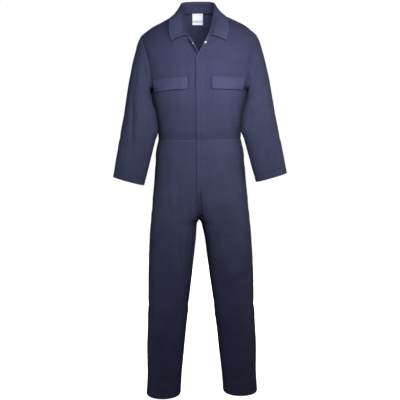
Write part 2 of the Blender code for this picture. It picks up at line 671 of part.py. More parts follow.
def collar_section(seam, fold, edge, out, swell):
    """One section of the collar: up the stand, over the fold and down the fall."""
    up = np.array([0.0, 0.0, 1.0])
    stand_top = fold - (out + up) * COLLAR_FOLD
    fall_top = fold + (out - up) * COLLAR_FOLD
    foot = seam + (stand_top - seam) / max(np.linalg.norm(stand_top - seam), 1e-9) * COLLAR_FOOT
    away = (out * 0.6 + up * 0.8) * swell * MM
    fall = [fall_top + (edge - fall_top) * f + away * math.sin(math.pi * f) for f in (0.33, 0.67)]
    return [foot, (foot + stand_top) / 2 + out * 1.0 * MM, stand_top, fold, fall_top, *fall, edge]


def laid_over(rows, first, under):
    """The collar's rows, moved out from column first on wherever their faces come too near a surface."""
    rows = rows.copy()
    for _ in range(LAYING_PASSES):
        moves = np.zeros_like(rows)
        for j in range(rows.shape[0] - 1):
            for i in range(first, rows.shape[1] - 1):
                cell = rows[j:j + 2, i:i + 2]
                spots = [*cell.reshape(-1, 3), cell.mean(axis=(0, 1)), *cell.mean(axis=0), *cell.mean(axis=1)]
                for place in spots:
                    spot, facing, _, _ = under.find_nearest(Vector(place))
                    short = COLLAR_LIFT - (Vector(place) - spot).dot(facing)
                    for corner in np.ndindex(2, 2):
                        at = (j + corner[0], i + corner[1])
                        if short > np.linalg.norm(moves[at]):
                            moves[at] = np.array(facing) * short
        rows += moves
    return rows


def make_collar(skin, fly):
    sheets = [(skin[name], outward(name)) for name in ("front_left", "front_right", "back")]
    cover = fly[1][0] + fly[1][1] * (LIFT + DOUBLE)
    under = searchable([*sheets, (cover, outward("front_left"))])
    seams = neck_edge(skin)
    count = len(seams)
    half = []
    for k in range(count):
        row = row_of(COLLAR, k * 6.0 / (count - 1))
        fold = np.array([row["fold_x"], row["fold_y"], row["fold_z"]]) * MM
        edge = np.array([row["edge_x"], row["edge_y"], row["edge_z"]]) * MM
        out = edge - fold
        out[2] = 0.0
        out /= np.linalg.norm(out)
        half.append(collar_section(seams[k], fold, edge, out, row["swell"]))
    half = np.array(half)
    other = half[:0:-1].copy()
    other[:, :, 0] *= -1
    rows = laid_over(np.concatenate([other, half]), FALL_START, under)
    normals = np.zeros_like(rows)
    faces = face_normals(rows)
    for j in range(rows.shape[0]):
        for i in range(rows.shape[1]):
            normals[j, i] = faces[max(j - 1, 0):j + 1, max(i - 1, 0):i + 1].reshape(-1, 3).sum(axis=0)
    normals /= np.linalg.norm(normals, axis=2, keepdims=True)
    wall("collar", rows, normals, -DOUBLE / 2, DOUBLE / 2, NAVY_DOUBLE)


def main():
    for item in list(bpy.data.objects):
        bpy.data.objects.remove(item)
    collection = bpy.data.collections.new("boiler_suit")
    bpy.context.scene.collection.children.link(collection)
    skin = draw_skin()
    normals = skin_normals(skin)
    panels = {}
    for name, rows in skin.items():
        upper = name.startswith("front") or name == "back"
        panels[name] = Panel(rows, normals[name], NECK_STEPS if upper else 0)
    make_panels(skin, normals)
    fly = make_fly(panels)
    make_studs(fly)
    make_collar(skin, fly)
    make_chest_pockets(panels)
    make_pocket_edges(panels)
    make_label(panels)


main()
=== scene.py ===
"""A boiler suit in navy workwear twill, hollow and filled out as it is worn.

Run as a script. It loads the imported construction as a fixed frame, drafts the same panels again as fine as
cloth, works the creases into them, and sews on the strips, pockets, flaps, collar, studs, label and rows of
stitches. The tables are in millimetres and degrees, and everything else is in metres.
"""

import functools
import math

import bmesh
import bpy
import numpy as np
from mathutils import Matrix, Vector, noise
from mathutils.bvhtree import BVHTree


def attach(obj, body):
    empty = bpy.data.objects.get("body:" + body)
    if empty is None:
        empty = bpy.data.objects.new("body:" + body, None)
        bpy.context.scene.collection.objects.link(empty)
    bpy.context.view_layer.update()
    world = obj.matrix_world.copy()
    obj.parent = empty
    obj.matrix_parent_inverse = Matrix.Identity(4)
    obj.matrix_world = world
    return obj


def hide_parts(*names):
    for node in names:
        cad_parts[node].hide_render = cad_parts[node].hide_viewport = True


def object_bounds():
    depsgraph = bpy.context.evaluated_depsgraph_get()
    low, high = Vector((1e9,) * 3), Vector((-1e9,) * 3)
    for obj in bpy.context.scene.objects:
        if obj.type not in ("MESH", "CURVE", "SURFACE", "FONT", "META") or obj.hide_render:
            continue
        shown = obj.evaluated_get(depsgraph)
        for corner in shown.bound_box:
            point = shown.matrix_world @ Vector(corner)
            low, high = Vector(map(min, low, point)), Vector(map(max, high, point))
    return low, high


bl_info = {
    "name": "Boiler Suit",
    "version": (1, 0, 0),
    "blender": (4, 5, 0),
    "location": "View3D > Sidebar > Boiler Suit",
    "description": "Cuts, creases and sews a worn boiler suit round its packed construction",
    "category": "Add Mesh",
}

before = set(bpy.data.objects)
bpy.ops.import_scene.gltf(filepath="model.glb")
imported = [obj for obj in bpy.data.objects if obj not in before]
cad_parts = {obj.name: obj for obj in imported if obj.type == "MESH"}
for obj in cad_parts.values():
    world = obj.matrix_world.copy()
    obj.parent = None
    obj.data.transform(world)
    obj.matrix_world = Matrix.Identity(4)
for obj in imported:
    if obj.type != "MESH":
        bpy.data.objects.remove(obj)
FRAME_BOX = [list(corner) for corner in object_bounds()]

MM = 0.001
BODY = "root"
COLLECTION = "boiler_suit"
HANDS = ((1, "left"), (-1, "right"))      # the wearer's left is +X


def linear(hex_colour):
    """An sRGB hex colour as the linear values that Blender works in."""
    values = [int(hex_colour[k:k + 2], 16) / 255 for k in (1, 3, 5)]
    return tuple(v / 12.92 if v <= 0.04045 else ((v + 0.055) / 1.055) ** 2.4 for v in values)


def colour(label, words, hex_colour):
    """A setting for a colour."""
    return bpy.props.FloatVectorProperty(
        name=label, description=words, subtype="COLOR", size=3, min=0.0, max=1.0, default=linear(hex_colour)
    )


def distance(label, words, value):
    """A setting for a length in metres."""
    return bpy.props.FloatProperty(name=label, description=words, default=value, unit="LENGTH", precision=4)


def angle(label, words, degrees):
    """A setting for an angle."""
    return bpy.props.FloatProperty(
        name=label, description=words, default=math.radians(degrees), subtype="ANGLE"
    )


def power(label, watts):
    """A setting for the power of one of the soft boxes."""
    words = f"Power of the {label.lower()}"
    return bpy.props.FloatProperty(name=label, description=words, default=watts, unit="POWER")


class ClothSettings(bpy.types.PropertyGroup):
    cell: distance("Cell", "How far apart the mesh lines lie along a panel", 4.8 * MM)
    single: distance("Cloth", "Thickness of one layer of twill", 0.9 * MM)
    doubled: distance("Doubled cloth", "Thickness of two layers pressed together", 1.7 * MM)
    lift: distance("Lift", "Gap between a panel and what is sewn on it", 0.9 * MM)
    hem: distance("Hem", "Depth of the turned hems", 20 * MM)
    crease: bpy.props.FloatProperty(
        name="Creases", description="Scale of the creases", default=1.0, min=0.0, max=2.0, subtype="FACTOR"
    )


class SewingSettings(bpy.types.PropertyGroup):
    pitch: distance("Stitch pitch", "From one stitch to the next", 3.4 * MM)
    stitch: distance("Stitch", "Length of thread that shows of a stitch", 2.6 * MM)
    thread: distance("Thread", "Width of the sewing thread", 0.55 * MM)
    inset: distance("Inset", "From a seam to its row of stitches", 6 * MM)


class FinishSettings(bpy.types.PropertyGroup):
    navy: colour("Navy", "Colour of the twill", "#3a3d5b")
    # a lighter copy of the navy, which paints extra light onto the collar, flaps and hip pocket strips
    navy_painted_lighter: colour("Doubled navy", "Colour of the pressed strips and flaps", "#444869")
    thread: colour("Thread", "Colour of the sewing thread", "#3a3d5a")
    label: colour("Label", "Colour of the neck label", "#fbfcff")
    label_band: colour("Label band", "Colour of the plain band on the neck label", "#a9b6dc")
    nickel: colour("Nickel", "Colour of the press studs", "#e6e4e0")
    floor: colour("Floor", "Colour of the floor", "#ffffff")


class StageSettings(bpy.types.PropertyGroup):
    lens: bpy.props.FloatProperty(
        name="Lens", description="Focal length of the camera, in millimetres", default=63.8
    )
    away: distance("Camera distance", "From the suit to the camera", 3.0)
    height: distance("Camera height", "Height of the camera over the base of the neck", -0.385)
    tilt: angle("Tilt", "How far the camera looks down", 7.1)
    roll: angle("Roll", "How far the camera leans", 0.52)
    high: power("High light", 15.8)
    near: power("Near light", 6.3)
    left: power("Left light", 9.8)
    right: power("Right light", 6.0)
    rear: power("Rear light", 90.0)


def settings(name):
    """One group of settings of the scene: cloth, sewing, finish or stage."""
    return getattr(bpy.context.scene, "suit_" + name)


# ---------------------------------------------------------------- the draft

def table(columns, rows):
    """A table: the named columns, with one row for each section or crease."""
    grid = np.array(rows, float)
    return {name: grid[:, k] for k, name in enumerate(columns.split())}


# Each row of the upper panels runs from the centre or the neck edge to the side seam or the armhole. It
# leaves its inner end straight sideways, and reaches its outer end at the angle "turn".
UPPER_COLUMNS = "in_x in_y in_z out_x out_y out_z reach_in reach_out turn arch"
FRONT = table(
    UPPER_COLUMNS,
    [
        (0, -125, -497, 173, 0, -497, 108, 78, 90, 0),    # waist seam
        (0, -132, -467, 175, 0, -467, 110, 86, 90, 0),    # cloth bloused over the waist
        (0, -137, -393, 187, 0, -393, 116, 98, 90, 0),    # ribs
        (0, -140, -345, 197, 0, -345, 121, 104, 90, 0),   # chest
        (0, -140, -310, 200, 0, -310, 122, 108, 90, 0),   # underarm
        (0, -139, -268, 196, -72, -281, 112, 46, 50, 0),
        (0, -133, -212, 199, -83, -226, 95, 42, 38, 0),   # middle of the armhole
        (0, -127, -178, 206, -67, -180, 88, 40, 41, 0),   # foot of the open neck
        (28, -115, -118, 221, -47, -128, 78, 45, 33, 2),
        (50, -101, -88, 232, -24, -97, 72, 50, 28, 6),    # front end of the collar
        (67, -56, -32, 237, -8, -80, 62, 50, 15, 8),
        (82, 5, 18, 239, 8, -70, 53, 53, 1, 9),           # shoulder seam
    ],
)
BACK = table(
    UPPER_COLUMNS,
    [
        (0, 118, -497, 173, 0, -497, 106, 72, -90, 0),    # waist seam
        (0, 127, -467, 175, 0, -467, 110, 78, -90, 0),
        (0, 132, -393, 187, 0, -393, 116, 80, -90, 0),
        (0, 135, -345, 197, 0, -345, 120, 82, -90, 0),
        (0, 137, -310, 200, 0, -310, 122, 83, -90, 0),    # underarm
        (0, 139, -262, 193, 54, -281, 112, 44, -70, 0),
        (0, 138, -205, 193, 80, -228, 98, 38, -48, 0),    # shoulder blades
        (0, 131, -142, 201, 81, -172, 88, 40, -36, 0),
        (0, 117, -78, 215, 64, -124, 80, 45, -28, 0),
        (0, 100, -20, 228, 40, -95, 76, 50, -20, 3),
        (0, 80, 30, 234, 24, -82, 70, 52, -12, 6),        # nape
        (50, 64, 27, 237, 16, -75, 60, 52, -5, 8),
        (82, 5, 18, 239, 8, -70, 53, 53, 1, 9),           # shoulder seam
    ],
)
# Half of the hips, then one leg: a rounded oval about its centre, cut off at x = 0.
TROUSER = table(
    "level centre half mid front back square",
    [
        (-497, 0.0, 173.0, 0, 125, 118, 2.30),          # waist seam
        (-571, 0.0, 186.6, 2, 132, 133, 2.38),
        (-660, 18.0, 173.5, 4, 134, 141, 2.42),         # hips
        (-742, 50.0, 149.5, 4, 134, 142, 2.70),         # seat
        (-806, 87.0, 121.0, 3, 132, 134, 2.95),
        (-838, 104.8, 104.8, 2, 130, 129, 3.15),        # crotch
        (-850, 109.4, 101.4, 2, 129, 127, 3.20),        # the rounded top of the gap between the legs
        (-877, 113.4, 100.4, 1, 127, 123, 3.15),
        (-947, 120.5, 97.3, 0, 121, 114, 2.90),         # thigh
        (-1087, 132.5, 93.0, -3, 107, 99, 2.65),
        (-1230, 143.4, 86.5, -4, 95, 90, 2.50),         # knee
        (-1373, 154.9, 82.1, 0, 86, 88, 2.38),
        (-1519, 163.0, 75.4, 4, 83, 88, 2.30),
        (-1600, 168.5, 75.2, 6, 84, 89, 2.25),          # hem
    ],
)
# A sleeve's section lies between a point on its inner line and a point on its outer line.
SLEEVE = table(
    "in_x in_z out_x out_z mid front back pressed",
    [
        (200, -310, 239, -70, 4, 77, 78, 0),             # armhole
        (207, -313, 254, -101, 1, 80, 81, 0),            # sleeve head
        (196, -328, 265, -143, -6, 79, 82, 0.5),
        (190, -352, 277, -197, -14, 76, 80, 1.0),
        (174, -392, 293, -280, -25, 71, 76, 1.0),        # upper arm
        (171, -460, 316, -404, -33, 64, 70, 1.0),
        (185, -505, 327, -462, -36, 61, 66, 0.8),        # elbow
        (200, -562, 339, -526, -40, 55, 60, 0.5),
        (217, -628, 353, -593, -44, 48, 52, 0.3),
        (234, -688, 364, -651, -47, 41, 44, 0.2),        # cuff
    ],
)
# The collar from the back of the neck to its front end: its seam lies on the neck edge.
COLLAR = table(
    "fold_x fold_y fold_z edge_x edge_y edge_z swell",
    [
        (0, 66, 74, 0, 98, 8, 5),                       # centre back
        (46, 57, 72, 63, 86, 6, 4),
        (67, 28, 61, 101, 40, 6, 1),                    # side of the neck
        (67, 0, 41, 112, -2, 4, 2),                     # shoulder
        (62, -32, 10, 119, -44, -12, 5),
        (53, -70, -33, 121, -80, -54, 7),
        (41, -110, -75, 110, -113, -101, 4),            # front end
    ],
)
# Row numbers in these tables, from 0 at the first row.
UNDERARM, FRONT_SHOULDER, NAPE, BACK_SHOULDER = 4, 11, 10, 12
NECK_FOOT, COLLAR_END = 7, 9
CROTCH_ROW, HEM_ROW = 5, 13
SLEEVE_HEAD_ROW, UPPER_ARM_ROW, CUFF_ROW = 1, 4, 9

HEM_DROP = {-1: 12.0, 1: 1.0}      # the right hem hangs a little lower than the left one
CUFF_RISE = {-1: 0.0, 1: 10.0}     # the left cuff is drawn up a little
ARM_CLEARANCE = 2.4                # between a sleeve and the torso that it hangs against
OVAL, PRESSED_OVAL = 0.9, 0.72     # a sleeve's section, and where it is pressed on the torso: less is squarer
WAIST_EASE = 60.0                  # over this depth the trousers take up the upper panels' curve

COLUMNS = 60                       # faces across each half panel
ROW_SAMPLES = 161                  # points that the curve of an upper panel's row is read from
LINE_SAMPLES = 241                 # likewise, for an oval and for a line down a panel
SEAM_SPOTS = (0.0, 0.9, 2.2, 4.4, 8.0)               # mesh lines beside a seam, from the seam
HEM_SPOTS = (0.0, 0.7, 1.6, 4.0, 9.0, 14.5, 19.0, 20.2, 21.4, 24.0)
RIM_SPOTS = (0.0, 0.35, 0.9, 2.0, 4.0)               # mesh lines beside a free edge


def eased(values):
    """Values from 0 to 1 on a smooth step, and held there outside it."""
    values = np.clip(values, 0.0, 1.0)
    return values * values * (3 - 2 * values)


def glide(column, p):
    """A column read at row numbers p, on a smooth line that never overshoots its rows."""
    steps = np.diff(column)
    slopes = np.empty(len(column))
    slopes[0], slopes[-1] = steps[0], steps[-1]
    for k in range(1, len(column) - 1):
        before, after = steps[k - 1], steps[k]
        slopes[k] = 2 * before * after / (before + after) if before * after > 0 else 0.0
    p = np.asarray(p, float)
    k = np.clip(np.floor(p).astype(int), 0, len(column) - 2)
    f = p - k
    start, end = column[k], column[k + 1]
    return start + (end - start) * eased(f) + slopes[k] * f * (1 - f) ** 2 - slopes[k + 1] * f * f * (1 - f)


def row_of(section_table, p):
    """A table's values at row number p, by column name."""
    return {name: float(glide(column, p)) for name, column in section_table.items()}


def walk(line):
    """The distance along a line of points, at each point."""
    return np.concatenate([[0.0], np.cumsum(np.linalg.norm(np.diff(line, axis=0), axis=1))])


def spread(line, spots, lengths=None):
    """Points of a line at given distances along it; lengths gives the line's own distances if they are known."""
    lengths = walk(line) if lengths is None else lengths
    return np.stack([np.interp(spots, lengths, line[:, k]) for k in range(line.shape[1])], axis=1)


def stations(length, count, start=SEAM_SPOTS, end=SEAM_SPOTS):
    """Distances along a length: close beside both ends, and even between. There are count + 1 of them."""
    inside = np.linspace(start[-1], length - end[-1], count + 3 - len(start) - len(end))
    return np.concatenate([start[:-1], inside, length - np.array(end[:-1])[::-1]])


def chest_line(section_table, p):
    """One row of an upper panel: a curve from its inner end to its outer end."""
    row = row_of(section_table, p)
    turn = math.radians(row["turn"])
    inner = np.array([row["in_x"], row["in_y"], row["in_z"]])
    outer = np.array([row["out_x"], row["out_y"], row["out_z"]])
    drop = (outer[2] - inner[2]) / 3
    level = min(row["in_x"] / FRONT["in_x"][-1], 1.0)
    ahead = inner + [row["reach_in"], 0.0, drop * level]
    behind = outer - [row["reach_out"] * math.cos(turn), row["reach_out"] * math.sin(turn), drop]
    t = np.linspace(0.0, 1.0, ROW_SAMPLES)[:, None]
    curve = inner * (1 - t) ** 3 + ahead * 3 * t * (1 - t) ** 2 + behind * 3 * t * t * (1 - t) + outer * t**3
    curve[:, 2:] += row["arch"] * 4 * t * (1 - t)
    return spread(curve, stations(walk(curve)[-1], COLUMNS))


def trouser_line(depth_name, p):
    """One row of a trouser panel, from the rise or the inseam round to the side seam."""
    row = row_of(TROUSER, p)
    toward = -1 if depth_name == "front" else 1
    power = row["square"]
    reach = min(row["centre"] / row["half"], 1.0)
    start = math.acos(-(reach ** (power / 2)))
    angles = np.linspace(start, 0.0, LINE_SAMPLES)
    cosine, sine = np.cos(angles), np.abs(np.sin(angles))
    x = row["centre"] + row["half"] * np.sign(cosine) * np.abs(cosine) ** (2 / power)
    y = row["mid"] + toward * row[depth_name] * sine ** (2 / power)
    if row["centre"] < row["half"]:
        x[0] = 0.0
    curve = np.stack([x, y, np.full_like(x, row["level"])], axis=1)
    return spread(curve, stations(walk(curve)[-1], COLUMNS))


def evened(line, numbers, start, end):
    """Row numbers that lie a cell apart along a line, whose points have the given row numbers."""
    lengths = walk(line)
    count = round(lengths[-1] / (settings("cloth").cell / MM)) + len(start) + len(end) - 2
    return np.interp(stations(lengths[-1], count, start, end), lengths, numbers)


def row_numbers(line_at, first, last, start, end):
    """Row numbers from first to last that lie a cell apart down the middle of a panel."""
    numbers = np.linspace(first, last, LINE_SAMPLES)
    return evened(np.array([line_at(p)[COLUMNS // 2] for p in numbers]), numbers, start, end)


def torso_widths():
    """Rows of both upper panels below the arm, to keep the sleeves clear of."""
    numbers = np.linspace(0, UNDERARM, 9)
    return {depth: [chest_line(rows, p) for p in numbers] for depth, rows in (("front", FRONT), ("back", BACK))}


def clear_of_torso(ring, widths):
    """A sleeve's section with its inner side pressed flat along the torso, just clear of it."""
    for point in ring:
        rows = widths["front" if point[1] < 0 else "back"]
        levels = [row[-1, 2] for row in rows]
        if point[2] > levels[-1]:
            continue
        reach = [np.interp(abs(point[1]), np.abs(row[::-1, 1]), row[::-1, 0]) for row in rows]
        point[0] = max(point[0], np.interp(point[2], levels, reach) + ARM_CLEARANCE)
    return ring


def sleeve_ring(row, angles):
    """One section of a sleeve, from the underarm over the front, the outside and the back."""
    inner = np.array([row["in_x"], row["mid"], row["in_z"]])
    outer = np.array([row["out_x"], row["mid"], row["out_z"]])
    swing = (1 - np.sign(np.cos(angles)) * np.abs(np.cos(angles)) ** OVAL) / 2
    power = np.where(np.cos(angles) > 0, OVAL + (PRESSED_OVAL - OVAL) * row["pressed"], OVAL)
    depth = np.where(np.sin(angles) >= 0, -row["front"], row["back"]) * np.abs(np.sin(angles)) ** power
    return inner + (outer - inner) * swing[:, None] + np.stack([0 * depth, depth, 0 * depth], axis=1)


def sleeve_rings(armhole, half_way, widths, side):
    """A sleeve as rings from the armhole to the cuff; the last column repeats the first."""
    lengths = walk(armhole)
    half = lengths[half_way]
    angles = np.where(lengths <= half, lengths / half, 1 + (lengths - half) / (lengths[-1] - half)) * math.pi
    start = armhole - sleeve_ring(row_of(SLEEVE, 0), angles)
    numbers = np.linspace(0, CUFF_ROW, LINE_SAMPLES)
    outer = np.stack([glide(SLEEVE[name], numbers) for name in ("out_x", "out_z")], axis=1)
    numbers = evened(outer, numbers, SEAM_SPOTS, HEM_SPOTS)
    rings = [armhole]
    for p in numbers[1:]:
        ease = float(eased(p / UPPER_ARM_ROW))
        ring = sleeve_ring(row_of(SLEEVE, p), angles) + start * (1 - ease)
        ring[:, 2] += CUFF_RISE[side] * (p / CUFF_ROW) ** 2
        if p > SLEEVE_HEAD_ROW / 2:
            pressed = clear_of_torso(ring.copy(), widths)
            ring += (pressed - ring) * min((p - SLEEVE_HEAD_ROW / 2) * 2, 1.0)
        rings.append(ring)
    rings = np.array(rings)
    rings[:, -1] = rings[:, 0]
    return rings


# The suit is not quite even: each lump moves the cloth about a place, and fades over a width and a height.
UNEVEN = table(
    "x z width height move_x move_z",
    [
        (190, -60, 36, 60, 0, 6),           # left shoulder fuller
        (-140, -25, 30, 40, 0, -4),         # right shoulder flatter beside the collar
        (-185, -75, 26, 40, 0, 3),
        (0, -850, 60, 46, -5, 0),           # crotch pulled to the right
    ],
)


def mirrored(rows, side):
    """Rows of one half as they hang on a side, in metres."""
    placed = rows * [side, 1.0, 1.0]
    shift = np.zeros_like(placed)
    for x, z, width, height, move_x, move_z in zip(*UNEVEN.values()):
        near = np.exp(-(((placed[..., 0] - x) / width) ** 2) - ((placed[..., 2] - z) / height) ** 2)
        shift[..., 0] += move_x * near
        shift[..., 2] += move_z * near
    return (placed + shift) * MM


def drafted_points():
    """Every main panel as rows of points, sharing their points along the seams, and its row numbers."""
    low = row_numbers(lambda p: chest_line(FRONT, p), 0, UNDERARM, SEAM_SPOTS, (0.0,))
    front_high = row_numbers(lambda p: chest_line(FRONT, p), UNDERARM, FRONT_SHOULDER, (0.0,), SEAM_SPOTS)
    back_high = row_numbers(lambda p: chest_line(BACK, p), UNDERARM, BACK_SHOULDER, (0.0,), SEAM_SPOTS)
    front_numbers = np.concatenate([low, front_high[1:]])
    back_numbers = np.concatenate([low, back_high[1:]])
    front = np.array([chest_line(FRONT, p) for p in front_numbers])
    back = np.array([chest_line(BACK, p) for p in back_numbers])
    back[:len(low), -1] = front[:len(low), -1]
    back[-1] = front[-1]
    arm = len(low) - 1
    armhole = np.concatenate([front[arm:, -1], back[arm:-1, -1][::-1]])
    widths = torso_widths()
    leg_numbers = row_numbers(lambda p: trouser_line("front", p), 0, HEM_ROW, SEAM_SPOTS, HEM_SPOTS)[::-1]
    legs = {}
    for depth, waist in (("front", front[0]), ("back", back[0])):
        rows = np.array([trouser_line(depth, p) for p in leg_numbers])
        fade = np.clip(1 - (rows[-1, 0, 2] - rows[:, :1, 2]) / WAIST_EASE, 0.0, 1.0) ** 2
        rows += (waist - rows[-1]) * fade[:, :, None]
        legs[depth] = rows
    panels, numbers = {}, {}
    for side, hand in HANDS:
        panels["front_" + hand], numbers["front_" + hand] = mirrored(front, side), front_numbers
        for depth, rows in legs.items():
            hung = rows.copy()
            crotch = TROUSER["level"][CROTCH_ROW]
            below = np.clip((hung[:, :, 2] - crotch) / (TROUSER["level"][-1] - crotch), 0.0, 1.0)
            hung[:, :, 2] -= HEM_DROP[side] * below
            name = f"trouser_{depth}_{hand}"
            panels[name], numbers[name] = mirrored(hung, side), leg_numbers
        rings = sleeve_rings(armhole, len(front) - 1 - arm, widths, side)
        panels["sleeve_" + hand], numbers["sleeve_" + hand] = mirrored(rings, side), None
    panels["back"] = np.concatenate([mirrored(back, -1)[:, ::-1], mirrored(back, 1)], axis=1)
    numbers["back"] = back_numbers
    return panels, numbers


def faces_out(name):
    """1 where a panel's rows and columns turn so that their normals point out of the suit, else -1."""
    kind, _, hand = name.rpartition("_")
    turned = {"front": -1, "trouser_front": -1, "trouser_back": 1, "sleeve": 1}
    return 1 if name == "back" else turned[kind] * (1 if hand == "left" else -1)


def face_normals(rows):
    """A normal for each face between rows and columns, as long as twice the face's area."""
    across = rows[1:, 1:] - rows[:-1, :-1]
    along = rows[1:, :-1] - rows[:-1, 1:]
    return np.cross(along, across)


def point_normals(rows, sense=1.0, open_column=None):
    """The sum of the face normals round each point, without the faces of an open column."""
    faces = face_normals(rows) * sense
    if open_column is not None:
        faces[:, open_column] = 0.0
    sums = np.zeros_like(rows)
    for j, i in ((0, 0), (0, 1), (1, 0), (1, 1)):
        sums[j:rows.shape[0] - 1 + j, i:rows.shape[1] - 1 + i] += faces
    return sums


def unit(vectors):
    """Vectors with a length of 1."""
    return vectors / np.maximum(np.linalg.norm(vectors, axis=-1, keepdims=True), 1e-12)


def shared_normals(panels):
    """Normals at each panel's points, shared by every panel that meets there."""
    names = list(panels)
    sums = [point_normals(panels[n], faces_out(n), COLUMNS if n == "back" else None) for n in names]
    points = np.concatenate([panels[n].reshape(-1, 3) for n in names])
    _, spot = np.unique(np.round(points / 1e-5).astype(int), axis=0, return_inverse=True)
    spot = spot.ravel()
    totals = np.zeros((spot.max() + 1, 3))
    np.add.at(totals, spot, np.concatenate([s.reshape(-1, 3) for s in sums]))
    found, at = {}, 0
    for n in names:
        size = panels[n].shape[0] * panels[n].shape[1]
        found[n] = unit(totals[spot[at:at + size]]).reshape(panels[n].shape)
        at += size
    return found


ALL_EDGES = ("first", "last", "foot", "head")
HUNG_EDGES = ("first", "last", "foot")     # a flap's or pocket's edges below its top


class Sheet:
    """Cloth as rows of points with their normals, and how far each point lies along its row and column."""

    def __init__(self, points, normals, numbers=None):
        self.points, self.normals, self.numbers = points, normals, numbers
        across = np.linalg.norm(np.diff(points, axis=1), axis=2)
        along = np.linalg.norm(np.diff(points, axis=0), axis=2)
        self.across = np.concatenate([np.zeros((len(points), 1)), np.cumsum(across, axis=1)], axis=1)
        self.along = np.concatenate([np.zeros((1, points.shape[1])), np.cumsum(along, axis=0)])

    def to_edge(self, side):
        """How far each point lies from one edge: first, last, foot or head."""
        if side == "first":
            return self.across
        if side == "last":
            return self.across[:, -1:] - self.across
        return self.along if side == "foot" else self.along[-1:] - self.along

    def rim(self, sides=ALL_EDGES):
        """How far each point lies from the nearest of some edges."""
        return np.min([self.to_edge(side) for side in sides], axis=0)

    def track(self, reach, rows=None):
        """The line down the sheet at a distance from its first edge, read at row numbers of its own."""
        stack = np.concatenate([self.points, self.normals], axis=2)
        line = np.array([[np.interp(reach, a, s[:, k]) for k in range(6)] for a, s in zip(self.across, stack)])
        if rows is not None:
            line = np.stack([np.interp(rows, np.arange(len(line)), line[:, k]) for k in range(6)], axis=1)
        return line[:, :3], unit(line[:, 3:])

    def row_at(self, level, reach=0.0):
        """The row number where the line at a distance from the first edge stands at a height."""
        heights = self.track(reach)[0][:, 2]
        order = np.argsort(heights)
        return float(np.interp(level, heights[order], order))

    def places(self, reaches, levels):
        """Points and normals at distances from the first edge and at heights, a row of them for each height."""
        columns = []
        for k, reach in enumerate(reaches):
            line, facing = self.track(reach)
            both = np.concatenate([line, facing], axis=1)
            both = both[np.argsort(line[:, 2])]
            columns.append([[np.interp(z, both[:, 2], both[:, c]) for c in range(6)] for z in levels[:, k]])
        grid = np.array(columns).transpose(1, 0, 2)
        return grid[..., :3], unit(grid[..., 3:])

    def edge(self, side, inset, trim=0.0):
        """A line of points and normals along one edge, at an inset from it, without trim at both ends."""
        stack = np.concatenate([self.points, self.normals], axis=2)
        reach = self.across if side in ("first", "last") else self.along.T
        stack = stack if side in ("first", "last") else stack.transpose(1, 0, 2)
        far = side in ("last", "head")
        line = []
        for spots, values in zip(reach, stack):
            at = spots[-1] - inset if far else inset
            line.append([np.interp(at, spots, values[:, k]) for k in range(6)])
        line = np.array(line)
        lengths = walk(line[:, :3])
        if trim:
            line = spread(line, np.linspace(trim, lengths[-1] - trim, len(line)), lengths)
        return line

    def area(self):
        """The area of the cloth."""
        return float(np.linalg.norm(face_normals(self.points), axis=2).sum() / 2)


# ---------------------------------------------------------------- creases

